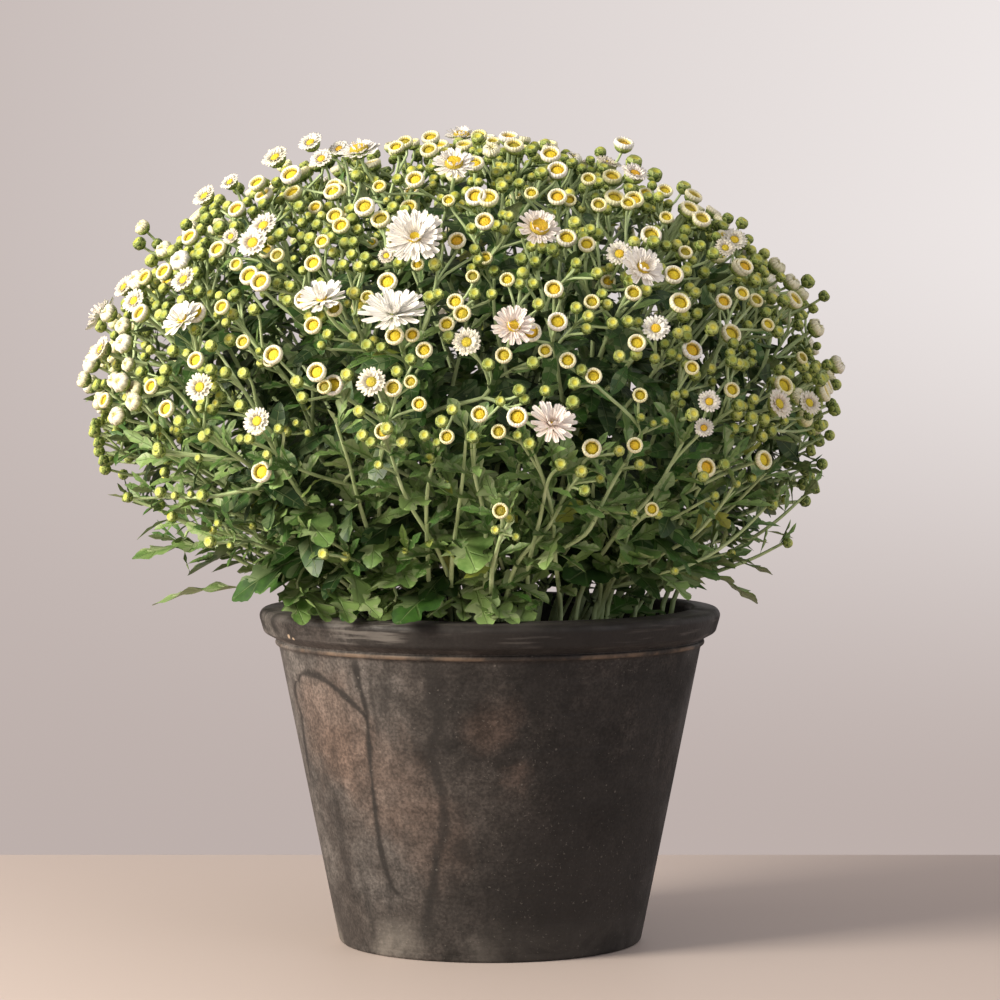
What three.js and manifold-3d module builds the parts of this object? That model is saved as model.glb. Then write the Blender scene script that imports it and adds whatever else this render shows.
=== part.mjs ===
// Potted chrysanthemum: a weathered clay pot, its potting soil, a dome of leafy stems
// in tight and half-open bud, and the open white flowers that stand out of it.
// Millimetres, +Z up, the origin at the middle of the pot's base.

import * as THREE from "three";
import { mergeVertices } from "three/addons/utils/BufferGeometryUtils.js";
import Module from "manifold-3d";

const wasm = await Module();
wasm.setup();

// Driving dimensions
const POT_HEIGHT = 195;
const POT_BASE_RADIUS = 87.5;
const POT_NECK_RADIUS = 123;
const POT_LIP_RADIUS = 134;
const POT_MOUTH_RADIUS = 116;
const POT_COLLAR_HEIGHT = 19;
const POT_WALL = 11;
const POT_FLOOR = 13;
const SOIL_BELOW_LIP = 23;
const SOIL_MOUND = 5;
const SEAT_GAP = 0.3;

const DOME_X = -17;
const DOME_Z = 312;
const DOME_RADIUS = 211;
const DOME_RISE = 151;
const DOME_DROP = 150;

const STEM_COUNT = 22;
const STEM_LOWEST_COSINE = -0.18;
const ROOT_SPREAD = 78;
const ROOT_DEPTH = 16;
const STEM_BASE_RADIUS = 2.4;
const STEM_TOP_RADIUS = 1.5;
const FORK_RADIUS = 1.2;
const FORK_SHARE = 0.56;
const TWIG_RADIUS = 0.85;
const HEAD_SPACING = 41;
const LEAF_LENGTH = 58;
const LEAF_THICKNESS = 0.8;
const PETAL_THICKNESS = 0.8;

const DEGREE = Math.PI / 180;
const GOLDEN_TURN = 137.508;
const UP = new THREE.Vector3(0, 0, 1);

// Finishes
const clay = new THREE.MeshStandardMaterial({ color: 0x463a33, roughness: 0.82, metalness: 0 });
const compost = new THREE.MeshStandardMaterial({ color: 0x2a2019, roughness: 1, metalness: 0 });
const foliage = new THREE.MeshStandardMaterial({ color: 0x5d7a3c, roughness: 0.6, metalness: 0 });
const whiteRay = new THREE.MeshStandardMaterial({ color: 0xf3efe4, roughness: 0.55, metalness: 0 });
const yellowDisc = new THREE.MeshStandardMaterial({ color: 0xe0b21e, roughness: 0.7, metalness: 0 });

const chrysanthemum = new THREE.Group();
chrysanthemum.name = "potted_chrysanthemum";

// A repeatable draw from 0 to 1 for one property of one part of one stem.
function draw(stem, part, property) {
  const wave = Math.sin(stem * 12.9898 + part * 78.233 + property * 37.719) * 43758.5453;
  return wave - Math.floor(wave);
}

function spread(stem, part, property, low, high) {
  return low + (high - low) * draw(stem, part, property);
}

// A geometry as a solid whose faces point out.
function solidOf(geometry) {
  const bare = geometry.clone();
  bare.deleteAttribute("normal");
  bare.deleteAttribute("uv");
  const merged = mergeVertices(bare, 1e-4);
  const place = merged.getAttribute("position");
  const index = merged.getIndex().array;
  const corner = [new THREE.Vector3(), new THREE.Vector3(), new THREE.Vector3()];
  const kept = [];
  let volume = 0;
  for (let face = 0; face < index.length; face += 3) {
    const ids = [index[face], index[face + 1], index[face + 2]];
    if (ids[0] === ids[1] || ids[1] === ids[2] || ids[2] === ids[0]) continue;
    ids.forEach((id, side) => corner[side].fromBufferAttribute(place, id));
    volume += corner[0].dot(corner[1].clone().cross(corner[2]));
    kept.push(ids);
  }
  const triVerts = new Uint32Array(kept.flatMap(([a, b, c]) => (volume < 0 ? [a, c, b] : [a, b, c])));
  const vertProperties = new Float32Array(place.array);
  return new wasm.Manifold(new wasm.Mesh({ numProp: 3, vertProperties, triVerts }));
}

function addPiece(name, solid, material) {
  const mesh = solid.getMesh();
  const geometry = new THREE.BufferGeometry();
  geometry.setAttribute("position", new THREE.BufferAttribute(mesh.vertProperties, 3));
  geometry.setIndex(new THREE.BufferAttribute(mesh.triVerts, 1));
  geometry.computeVertexNormals();
  const piece = new THREE.Mesh(geometry, material);
  piece.name = name;
  chrysanthemum.add(piece);
}

function fuse(solids) {
  return wasm.Manifold.union(solids);
}

// A skin grows ring by ring. A ring is a list of corners, anticlockwise seen from its tip side.
class Skin {
  positions = [];
  index = [];

  point(place) {
    this.positions.push(place.x, place.y, place.z);
    return this.positions.length / 3 - 1;
  }

  at(id) {
    return new THREE.Vector3().fromArray(this.positions, 3 * id);
  }

  middle(ring) {
    const sum = ring.reduce((total, id) => total.add(this.at(id)), new THREE.Vector3());
    return sum.multiplyScalar(1 / ring.length);
  }

  face(...corners) {
    for (let last = 2; last < corners.length; last += 1) {
      this.index.push(corners[0], corners[last - 1], corners[last]);
    }
  }

  // A ring of equal sides whose first corner lies to the side given.
  ring(centre, axis, side, radius, sides) {
    const across = axis.clone().cross(side);
    const corners = [];
    for (let corner = 0; corner < sides; corner += 1) {
      const turn = (2 * Math.PI * corner) / sides;
      const place = centre.clone().addScaledVector(side, radius * Math.cos(turn));
      corners.push(this.point(place.addScaledVector(across, radius * Math.sin(turn))));
    }
    return corners;
  }

  // Joins two rings of any number of corners, going round both at an even pace, from the
  // start that gives the skin the least twist.
  bridge(low, high) {
    const twist = high.map((_, start) => low.reduce((sum, id, place) => {
      const mate = high[(start + Math.round((place * high.length) / low.length)) % high.length];
      return sum + this.at(id).distanceToSquared(this.at(mate));
    }, 0));
    const start = twist.indexOf(Math.min(...twist));
    const top = [...high.slice(start), ...high.slice(0, start)];
    let [under, over] = [0, 0];
    while (under < low.length || over < top.length) {
      const [a, b] = [low[under % low.length], top[over % top.length]];
      const lowIsBehind = (under + 0.5) / low.length < (over + 0.5) / top.length;
      if (lowIsBehind) this.face(a, low[(under + 1) % low.length], b);
      else this.face(a, top[(over + 1) % top.length], b);
      if (lowIsBehind) under += 1;
      else over += 1;
    }
  }

  // A limb follows its steps from an open ring, or from a closed end where there is none.
  // A step with a shoot hands the shoot the face that looks its way, and the rings on both
  // sides of a shoot are turned to give it that face.
  limb(root, steps) {
    const square = (line, axis) => line.clone().addScaledVector(axis, -line.dot(axis)).normalize();
    let side = new THREE.Vector3(1, 0, 0);
    if (root) {
      const leaving = steps[0].centre.clone().sub(this.middle(root)).normalize();
      side = square(this.at(root[0]).sub(this.middle(root)), leaving);
    }
    let last = root;
    steps.forEach((step, place) => {
      const shoot = step.shoot ?? steps[place + 1]?.shoot;
      side = square(shoot ? shoot.way : side, step.axis);
      if (shoot) side.applyAxisAngle(step.axis, -Math.PI / step.sides);
      if (step.radius === 0) {
        const tip = this.point(step.centre);
        last.forEach((id, corner) => this.face(id, last[(corner + 1) % last.length], tip));
        last = null;
        return;
      }
      const ring = this.ring(step.centre, step.axis, side, step.radius, step.sides);
      if (!last) this.face(...ring.slice().reverse());
      else if (step.shoot) this.openFace(last, ring, step.shoot);
      else this.bridge(last, ring);
      last = ring;
    });
    if (last) this.face(...last);
  }

  openFace(low, high, shoot) {
    const faces = low.map((id, place) => {
      const next = (place + 1) % low.length;
      return [id, low[next], high[next], high[place]];
    });
    const axisPoint = this.middle([...low, ...high]);
    const looks = faces.map((face) => this.middle(face).sub(axisPoint).normalize().dot(shoot.way));
    const chosen = looks.indexOf(Math.max(...looks));
    faces.forEach((face, place) => (place === chosen ? shoot.grow(this, face) : this.face(...face)));
  }

  geometry() {
    const geometry = new THREE.BufferGeometry();
    geometry.setAttribute("position", new THREE.Float32BufferAttribute(this.positions, 3));
    geometry.setIndex(this.index);
    return geometry;
  }
}

// A turned form whose profile is given as radius and height.
function turned(profile, segments) {
  const points = profile.map(([radius, height]) => new THREE.Vector2(radius, height));
  return new THREE.LatheGeometry(points, segments).rotateX(Math.PI / 2);
}

// The pot: a straight-sided clay pot with a heavy collar and a thin bead under it.
const POT_SEGMENTS = 32;
const COLLAR_BOTTOM = POT_HEIGHT - POT_COLLAR_HEIGHT;
const BEAD_HEIGHT = 3;
const BEAD_PROUD = 1.4;
const FOOT_ROUNDING = 2.5;
const LIP_ROUNDING = 2;
const COLLAR_CHAMFER = 4.5;
const COLLAR_SLANT = 3;
const LIP_DROP = 4.5;

function outerRadius(height) {
  const share = height / COLLAR_BOTTOM;
  return POT_BASE_RADIUS + (POT_NECK_RADIUS - POT_BASE_RADIUS) * share;
}

function innerRadius(height) {
  return outerRadius(height) - POT_WALL;
}

function makePot() {
  const profile = [
    [0, 0],
    [POT_BASE_RADIUS - FOOT_ROUNDING, 0],
    [outerRadius(FOOT_ROUNDING), FOOT_ROUNDING],
    [outerRadius(COLLAR_BOTTOM - BEAD_HEIGHT), COLLAR_BOTTOM - BEAD_HEIGHT],
    [POT_NECK_RADIUS + BEAD_PROUD, COLLAR_BOTTOM - BEAD_HEIGHT / 2],
    [POT_NECK_RADIUS + BEAD_PROUD / 2, COLLAR_BOTTOM],
    [POT_LIP_RADIUS - COLLAR_SLANT, COLLAR_BOTTOM + COLLAR_CHAMFER],
    [POT_LIP_RADIUS, POT_HEIGHT - LIP_DROP],
    [POT_LIP_RADIUS - LIP_ROUNDING, POT_HEIGHT - LIP_DROP + LIP_ROUNDING],
    [POT_MOUTH_RADIUS + LIP_ROUNDING, POT_HEIGHT],
    [POT_MOUTH_RADIUS, POT_HEIGHT - LIP_ROUNDING],
    [innerRadius(COLLAR_BOTTOM), COLLAR_BOTTOM - COLLAR_CHAMFER],
    [innerRadius(POT_FLOOR), POT_FLOOR],
    [0, POT_FLOOR],
  ];
  addPiece("pot", solidOf(turned(profile, POT_SEGMENTS)), clay);
}

// Stems: each rises from its own hole, leans out and ends at its own place on the dome.
const SOIL_TOP = POT_HEIGHT - SOIL_BELOW_LIP;
const HOLE_BOTTOM = SOIL_TOP - ROOT_DEPTH - SEAT_GAP;
const domeCentre = new THREE.Vector3(DOME_X, 0, DOME_Z);

// The point of the dome that lies in the direction of a point, seen from the dome's centre.
function ontoDome(point, depth = 0) {
  const reach = point.clone().sub(domeCentre);
  const tall = reach.z > 0 ? DOME_RISE : DOME_DROP;
  const size = Math.hypot(reach.x / DOME_RADIUS, reach.y / DOME_RADIUS, reach.z / tall);
  const onSurface = reach.multiplyScalar(1 / size);
  return onSurface.setLength(onSurface.length() - depth).add(domeCentre);
}

function domeDirection(tilt, turn) {
  const level = Math.sin(tilt * DEGREE);
  return new THREE.Vector3(
    level * Math.cos(turn * DEGREE),
    level * Math.sin(turn * DEGREE),
    Math.cos(tilt * DEGREE),
  );
}

function domePoint(tilt, turn, depth = 0) {
  const way = domeDirection(tilt, turn);
  const tall = way.z > 0 ? DOME_RISE : DOME_DROP;
  way.multiply(new THREE.Vector3(DOME_RADIUS, DOME_RADIUS, tall));
  return ontoDome(way.add(domeCentre), depth);
}

// Heads face out of the dome and a little up.
function facing(point, lift = 0.35) {
  return point.clone().sub(domeCentre).normalize().addScaledVector(UP, lift).normalize();
}

// Open flowers: tilt from straight up, turn about the plant's axis, flower width, and how
// far the face is lifted towards the sky.
const openFlowers = [
  { tilt: 55, turn: -97, width: 34, lift: 0.0 },
  { tilt: 72, turn: -99, width: 37, lift: 1.1 },
  { tilt: 69, turn: -110, width: 28, lift: 0.9 },
  { tilt: 35, turn: -91, width: 24, lift: 0.0 },
  { tilt: 53, turn: -76, width: 24, lift: 0.1 },
  { tilt: 62, turn: -60, width: 26, lift: 0.2 },
  { tilt: 74, turn: -82, width: 24, lift: 0.3 },
  { tilt: 93, turn: -77, width: 27, lift: 0.8 },
  { tilt: 73, turn: -134, width: 25, lift: 0.6 },
  { tilt: 30, turn: -119, width: 24, lift: 0.5 },
  { tilt: 16, turn: 90, width: 22, lift: 0.3 },
  { tilt: 72, turn: 172, width: 26, lift: 0.5 },
  { tilt: 46, turn: 133, width: 32, lift: 0.3 },
  { tilt: 70, turn: 92, width: 34, lift: 0.5 },
  { tilt: 55, turn: 36, width: 27, lift: 0.3 },
];
const FLOWER_PROUD = 9;

// Six heads stand round the stem's own head. Their places are turns about the stem, in the
// frame of a level and a rising direction across it.
const HEAD_TURN = 60;
const HEAD_TURN_PLAY = 9;
const HEAD_REACH_PLAY = [0.86, 1.06];
const HEAD_DEPTH_PLAY = [-4, 10];

function planStem(order) {
  const share = (order + 0.5) / STEM_COUNT;
  const tilt = Math.acos(1 - share * (1 - STEM_LOWEST_COSINE)) / DEGREE;
  const turn = order * GOLDEN_TURN;
  const rootWay = domeDirection(90, turn).multiplyScalar(ROOT_SPREAD * Math.sqrt(share));
  const root = rootWay.setZ(SOIL_TOP);
  const top = domePoint(tilt, turn);
  const outward = facing(top, 0);
  const level = UP.clone().cross(outward).normalize();
  const rising = outward.clone().cross(level);
  const spin = 360 * draw(order, 0, 1);
  const heads = [{ point: top }];
  for (let place = 1; place <= 6; place += 1) {
    const play = spread(order, place, 2, -HEAD_TURN_PLAY, HEAD_TURN_PLAY);
    const around = (spin + HEAD_TURN * place + play) * DEGREE;
    const away = HEAD_SPACING * spread(order, place, 3, ...HEAD_REACH_PLAY);
    const point = top.clone().addScaledVector(level, away * Math.cos(around));
    point.addScaledVector(rising, away * Math.sin(around));
    heads.push({ point: ontoDome(point, spread(order, place, 4, ...HEAD_DEPTH_PLAY)) });
  }
  return { order, tilt, turn, root, level, rising, spin, heads };
}

// Each open flower takes over the head that stands nearest to its place.
function planStems() {
  const stems = Array.from({ length: STEM_COUNT }, (_, order) => planStem(order));
  for (const flower of openFlowers) {
    flower.point = domePoint(flower.tilt, flower.turn, -FLOWER_PROUD);
    const free = stems.flatMap((stem) => stem.heads.filter((head) => !head.flower));
    const gap = (head) => head.point.distanceTo(flower.point);
    const near = free.reduce((best, head) => (gap(head) < gap(best) ? head : best));
    near.point = flower.point;
    near.flower = flower;
  }
  return stems;
}

// A stem leaves the soil at a part of its own tilt and turns up a little towards its head.
const LEAVING_TILT = 0.36;
const LEAVING_REACH = 0.38;
const ARRIVING_LIFT = 0.5;
const ARRIVING_REACH = 0.34;

function stemCurve(stem) {
  const top = stem.heads[0].point;
  const reach = top.distanceTo(stem.root);
  const leaving = domeDirection(stem.tilt * LEAVING_TILT, stem.turn);
  return new THREE.CubicBezierCurve3(
    stem.root.clone(),
    stem.root.clone().addScaledVector(leaving, reach * LEAVING_REACH),
    top.clone().addScaledVector(facing(top, ARRIVING_LIFT), -reach * ARRIVING_REACH),
    top.clone(),
  );
}

// Flower heads by stage. Each is a short profile of radius and height along its axis.
const CALYX_RADIUS = 3.6;
const CALYX_HEIGHT = 3.2;
const headProfiles = {
  tight: [[3.9, 3.2], [3.1, 6.4], [0, 7.8]],
  ringed: [[6.2, 4.6], [4.7, 7.6], [0, 6.4]],
  ragged: [[8.3, 6.6], [5, 7], [0, 8.4]],
  open: [[CALYX_RADIUS, 2.2], [CALYX_RADIUS - 0.3, CALYX_HEIGHT]],
};

const TIGHT_SHARE = 0.42;
const RAGGED_SHARE = 0.1;

function headStage(stem, place) {
  const lot = draw(stem.order, place, 5);
  if (lot < TIGHT_SHARE) return "tight";
  return lot < 1 - RAGGED_SHARE ? "ringed" : "ragged";
}

// The steps of a twig, which comes the way given, from its neck to the tip of its head.
function headSteps(stem, place, sides, way) {
  const head = stem.heads[place];
  const axis = head.flower ? facing(head.point, head.flower.lift) : facing(head.point);
  const stage = head.flower ? "open" : headStage(stem, place);
  const bend = axis.clone().add(way).normalize();
  const neck = { centre: head.point.clone(), axis: bend, radius: TWIG_RADIUS, sides };
  const rings = headProfiles[stage].map(([radius, height]) => {
    const centre = head.point.clone().addScaledVector(axis, height);
    return { centre, axis, radius, sides: HEAD_SIDES };
  });
  return [neck, ...rings];
}

function twigShoot(stem, place, from) {
  const way = stem.heads[place].point.clone().sub(from).normalize();
  const steps = headSteps(stem, place, TWIG_SIDES, way);
  return { way, grow: (skin, face) => skin.limb(face, steps) };
}

// A fork leaves the stem, runs to between its two heads, and goes on as one of their twigs.
function forkShoot(stem, fork, from) {
  const [one, other] = [2 * fork + 1, 2 * fork + 2];
  const between = stem.heads[one].point.clone().add(stem.heads[other].point).multiplyScalar(0.5);
  const split = from.clone().lerp(between, FORK_SHARE);
  const way = split.clone().sub(from).normalize();
  const low = { centre: split, axis: way, radius: FORK_RADIUS, sides: TWIG_SIDES };
  const high = { ...low, centre: split.clone().addScaledVector(way, SHOOT_FACE) };
  high.shoot = twigShoot(stem, other, split);
  const steps = [low, high, ...headSteps(stem, one, TWIG_SIDES, way)];
  return { way, grow: (skin, face) => skin.limb(face, steps) };
}

const LEAF_FOLD = 0.35;
const LEAF_SAG = 0.14;

// Half of a lobed leaf: distance along the rib and half width, both as shares of its length.
const largeLeafHalf = [[0.04, 0.03], [0.28, 0.06], [0.42, 0.3], [0.56, 0.13], [0.76, 0.25]];
const smallLeafHalf = [[0.04, 0.04], [0.42, 0.22], [0.6, 0.11]];

// A leaf grows from a face of its stem. Its rib leaves along the way and its face looks up.
function leafShoot(half, length, way, tipSide) {
  const across = tipSide.clone().cross(way).normalize();
  const face = way.clone().cross(across);
  const edge = [...half, [1, 0], ...half.map(([along, wide]) => [along, -wide]).reverse()];
  const flat = edge.map(([along, wide]) => new THREE.Vector2(along, wide));
  const grow = (skin, root) => {
    const from = skin.middle(root);
    const layer = (level) => flat.map(({ x, y }) => {
      const rise = length * (LEAF_FOLD * Math.abs(y) - LEAF_SAG * x * x) + level;
      const place = from.clone().addScaledVector(way, x * length);
      return skin.point(place.addScaledVector(across, y * length).addScaledVector(face, rise));
    });
    const under = layer(-LEAF_THICKNESS / 2);
    const over = layer(LEAF_THICKNESS / 2);
    for (const [a, b, c] of THREE.ShapeUtils.triangulateShape(flat, [])) {
      const turn = flat[b].clone().sub(flat[a]).cross(flat[c].clone().sub(flat[a]));
      skin.face(...(turn > 0 ? [over[a], over[b], over[c]] : [over[a], over[c], over[b]]));
      skin.face(...(turn > 0 ? [under[a], under[c], under[b]] : [under[a], under[b], under[c]]));
    }
    const last = flat.length - 1;
    for (let side = 0; side < last; side += 1) {
      skin.face(under[side], over[side], over[side + 1], under[side + 1]);
    }
    skin.bridge(root, [under[last], under[0], over[0], over[last]]);
  };
  return { way, grow };
}

// Upper leaves turn away from the forks that leave below them. Lower down an inner stem has
// one leaf more, and an outer stem has several, which droop over the rim of the pot.
const OUTER_TILT = 76;
const FIRST_FORK = 0.46;
const FORK_STEP = 0.1;
const LEAF_AFTER_FORK = 0.05;
const upperPlan = { open: 42, size: 0.68 };
const lowerInner = { count: 1, first: 0.37, step: 0, open: 42, size: 0.7 };
const lowerOuter = { count: 5, first: 0.2, step: 0.05, open: 62, size: 1.06 };
const DROOP_BESIDE = [-14, 60, -62, 18, -30];
const LANES = 12;

function leafAt(stem, curve, share, aside, plan, half) {
  const along = curve.getTangent(share);
  const open = plan.open * DEGREE;
  const across = aside.clone().addScaledVector(along, -aside.dot(along)).normalize();
  const way = along.clone().multiplyScalar(Math.cos(open)).addScaledVector(across, Math.sin(open));
  const length = LEAF_LENGTH * plan.size * spread(stem.order, share * 100, 9, 0.88, 1.06);
  return { share, shoot: leafShoot(half, length, way, along) };
}

// The way across a stem that keeps furthest from the forks of the stem.
function clearWay(along, ways) {
  const turns = Array.from({ length: LANES }, (_, lane) => (2 * Math.PI * lane) / LANES);
  const lanes = turns.map((turn) => ways[2].clone().applyAxisAngle(along, turn));
  const nearness = (lane) => Math.max(...ways.map((way) => way.dot(lane)));
  return lanes.reduce((best, lane) => (nearness(lane) < nearness(best) ? lane : best));
}

function leafShoots(stem, curve, forks) {
  const ways = forks.map(({ share, shoot }) => {
    const along = curve.getTangent(share);
    return shoot.way.clone().addScaledVector(along, -shoot.way.dot(along)).normalize();
  });
  const clear = clearWay(curve.getTangent(forks[2].share), ways);
  const away = [ways[0].clone().negate(), ways[2], clear];
  const leaves = forks.map(({ share }, fork) => {
    const half = fork === 1 ? largeLeafHalf : smallLeafHalf;
    return leafAt(stem, curve, share + LEAF_AFTER_FORK, away[fork], upperPlan, half);
  });
  const outer = stem.tilt > OUTER_TILT;
  const plan = outer ? lowerOuter : lowerInner;
  for (let number = 0; number < plan.count; number += 1) {
    const around = DROOP_BESIDE[number] * DEGREE;
    const droop = stem.level.clone().multiplyScalar(Math.sin(around));
    droop.addScaledVector(stem.rising, -Math.cos(around));
    const aside = outer ? droop : ways[1];
    leaves.push(leafAt(stem, curve, plan.first + plan.step * number, aside, plan, largeLeafHalf));
  }
  return leaves;
}

const STEM_SIDES = 4;
const TWIG_SIDES = 3;
const HEAD_SIDES = 5;
const SHOOT_FACE = 3.2;

function makeStem(stem) {
  const curve = stemCurve(stem);
  const forks = [0, 1, 2].map((fork) => {
    const share = FIRST_FORK + FORK_STEP * fork;
    return { share, shoot: forkShoot(stem, fork, curve.getPoint(share)) };
  });
  const shoots = [...forks, ...leafShoots(stem, curve, forks)].sort((a, b) => a.share - b.share);
  const length = curve.getLength();
  const step = (share, shoot) => ({
    centre: curve.getPoint(share),
    axis: share > 0 ? curve.getTangent(share) : UP,
    radius: STEM_BASE_RADIUS + (STEM_TOP_RADIUS - STEM_BASE_RADIUS) * share,
    sides: STEM_SIDES,
    shoot,
  });
  const buried = step(0);
  buried.centre = stem.root.clone().addScaledVector(UP, -ROOT_DEPTH);
  const steps = [buried, step(0)];
  for (const { share, shoot } of shoots) {
    steps.push(step(share), step(share + SHOOT_FACE / length, shoot));
  }
  const skin = new Skin();
  skin.limb(null, [...steps, ...headSteps(stem, 0, STEM_SIDES, curve.getTangent(1))]);
  const name = `leafy_stem_${String(stem.order + 1).padStart(2, "0")}`;
  addPiece(name, solidOf(skin.geometry()), foliage);
}

// The soil fills the pot to below its lip and has one plain hole for each stem.
const SOIL_SEGMENTS = 24;
const SOIL_FLAT_MARGIN = 12;
const HOLE_CLEARANCE = 0.4;

function makeSoil(stems) {
  const bottom = POT_FLOOR + SEAT_GAP;
  const fit = (height) => innerRadius(height) * Math.cos(Math.PI / POT_SEGMENTS) - 2 * SEAT_GAP;
  const profile = [
    [0, bottom],
    [fit(bottom), bottom],
    [fit(SOIL_TOP - SOIL_MOUND), SOIL_TOP - SOIL_MOUND],
    [ROOT_SPREAD + SOIL_FLAT_MARGIN, SOIL_TOP],
    [0, SOIL_TOP],
  ];
  const holes = stems.map(({ root }) => {
    const axis = UP;
    const radius = STEM_BASE_RADIUS + HOLE_CLEARANCE;
    const hole = new Skin();
    hole.limb(null, [
      { centre: root.clone().setZ(HOLE_BOTTOM), axis, radius, sides: STEM_SIDES },
      { centre: root.clone().setZ(SOIL_TOP + 1), axis, radius, sides: STEM_SIDES },
    ]);
    return solidOf(hole.geometry());
  });
  const mass = solidOf(turned(profile, SOIL_SEGMENTS));
  addPiece("soil", mass.subtract(fuse(holes)), compost);
}

// An open flower: two wheels of blunt rays on one hub, and a yellow disc seated in them.
// Ray sizes are shares of the ray's reach, and widths are shares of the turn between rays.
const RAY_CLEFT = 0.16;
const RAY_HALF_WIDTH = 0.26;
const RAY_LEAN = 0.97;
const OUTER_TIP_RISE = 0.2;
const INNER_REACH = 0.78;
const INNER_TIP_RISE = 0.4;
const WIDE_FLOWER = 30;
const DISC_EDGE = 1.4;
const DISC_CROWN = 3;

function rayWheel(skin, { rays, hub, reach, base, tipRise, spin }) {
  const step = (2 * Math.PI) / rays;
  const place = (radius, turn, level) => {
    const rise = tipRise * Math.max(0, (radius - hub) / (reach - hub));
    const height = base + level + rise;
    return skin.point(new THREE.Vector3(radius * Math.cos(turn), radius * Math.sin(turn), height));
  };
  const layer = (level) => {
    const inner = [];
    const edge = [];
    for (let ray = 0; ray < rays; ray += 1) {
      const turn = ray * step + spin;
      inner.push(place(hub, turn - step / 2, level));
      edge.push(place(hub + (reach - hub) * RAY_CLEFT, turn - step / 2, level));
      edge.push(place(reach, turn - step * RAY_HALF_WIDTH, level));
      edge.push(place(reach * RAY_LEAN, turn + step * RAY_HALF_WIDTH, level));
    }
    return { inner, edge };
  };
  const [under, over] = [layer(0), layer(PETAL_THICKNESS)];
  for (let ray = 0; ray < rays; ray += 1) {
    const next = (ray + 1) % rays;
    const first = 3 * ray;
    const corners = [first, first + 1, first + 2, 3 * next];
    const above = corners.map((corner) => over.edge[corner]);
    const below = corners.map((corner) => under.edge[corner]).reverse();
    skin.face(over.inner[ray], above[0], above[1], above[2]);
    skin.face(over.inner[ray], above[2], over.inner[next]);
    skin.face(over.inner[next], above[2], above[3]);
    skin.face(under.inner[next], below[0], below[1]);
    skin.face(under.inner[next], below[1], under.inner[ray]);
    skin.face(under.inner[ray], below[1], below[2], below[3]);
    for (let side = 0; side < 3; side += 1) {
      const [from, to] = [corners[side], corners[side + 1]];
      skin.face(under.edge[from], under.edge[to], over.edge[to], over.edge[from]);
    }
  }
  return { under: under.inner, over: over.inner };
}

const FLOWER_HUB = 4.2;
const LAYER_GAP = 0.5;
const DISC_SIDES = 6;
const DISC_RADIUS = 3.7;

function makeFlower(flower, number) {
  const reach = flower.width / 2;
  const rays = flower.width > WIDE_FLOWER ? 8 : 7;
  const axis = facing(flower.point, flower.lift);
  const turn = new THREE.Quaternion().setFromUnitVectors(UP, axis);
  const place = new THREE.Matrix4().compose(flower.point, turn, new THREE.Vector3(1, 1, 1));
  const hub = FLOWER_HUB;
  const base = CALYX_HEIGHT + SEAT_GAP;
  const second = base + PETAL_THICKNESS + LAYER_GAP;
  const skin = new Skin();
  const low = { rays, hub, reach, base, tipRise: reach * OUTER_TIP_RISE, spin: 0 };
  const high = { ...low, reach: reach * INNER_REACH, base: second, spin: Math.PI / rays };
  high.tipRise = reach * INNER_TIP_RISE;
  const outer = rayWheel(skin, low);
  const inner = rayWheel(skin, high);
  skin.face(...outer.under.slice().reverse());
  skin.bridge(outer.over, inner.under);
  skin.face(...inner.over);
  const label = String(number + 1).padStart(2, "0");
  addPiece(`flower_${label}_rays`, solidOf(skin.geometry().applyMatrix4(place)), whiteRay);

  const seat = second + PETAL_THICKNESS + SEAT_GAP;
  const profile = [
    [0, seat], [DISC_RADIUS, seat], [DISC_RADIUS, seat + DISC_EDGE], [0, seat + DISC_CROWN],
  ];
  const disc = turned(profile, DISC_SIDES);
  addPiece(`flower_${label}_disc`, solidOf(disc.applyMatrix4(place)), yellowDisc);
}

const stems = planStems();
makePot();
makeSoil(stems);
stems.forEach(makeStem);
openFlowers.forEach(makeFlower);

export default chrysanthemum;
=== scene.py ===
# Potted chrysanthemum: a weathered clay pot with a dome of leafy stems, hundreds of tight and
# ring-shaped heads, and a few open white flowers. Sizes are in metres unless a name says mm.

import math

import bpy
import numpy as np
from mathutils import Matrix, Quaternion, Vector, noise


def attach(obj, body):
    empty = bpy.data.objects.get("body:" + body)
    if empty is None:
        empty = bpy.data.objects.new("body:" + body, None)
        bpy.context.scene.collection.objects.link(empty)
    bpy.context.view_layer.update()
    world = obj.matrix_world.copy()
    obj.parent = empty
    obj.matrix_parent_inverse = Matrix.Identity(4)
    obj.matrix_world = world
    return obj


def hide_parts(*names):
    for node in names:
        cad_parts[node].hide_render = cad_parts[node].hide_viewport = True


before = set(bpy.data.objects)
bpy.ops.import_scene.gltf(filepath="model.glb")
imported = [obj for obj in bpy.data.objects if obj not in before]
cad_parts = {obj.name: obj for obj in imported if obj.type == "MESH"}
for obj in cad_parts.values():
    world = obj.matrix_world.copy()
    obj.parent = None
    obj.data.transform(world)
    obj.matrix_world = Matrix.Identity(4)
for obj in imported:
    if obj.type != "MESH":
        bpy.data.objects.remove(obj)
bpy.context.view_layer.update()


# Camera: level with the lower part of the plant, a little over two metres in front of it.
camera_place = (0.0058, -2.224, 0.360)
camera_pitch = math.radians(2.67)
camera_lens_mm = 138.0

camera_data = bpy.data.cameras.new("camera")
camera_data.lens = camera_lens_mm
camera_data.sensor_width = 36.0
camera_data.clip_end = 20.0
camera = bpy.data.objects.new("camera", camera_data)
camera.location = camera_place
camera.rotation_euler = (math.radians(90.0) - camera_pitch, 0.0, 0.0)
bpy.context.scene.collection.objects.link(camera)
bpy.context.scene.camera = camera
bpy.context.scene.view_settings.view_transform = "Standard"


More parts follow.
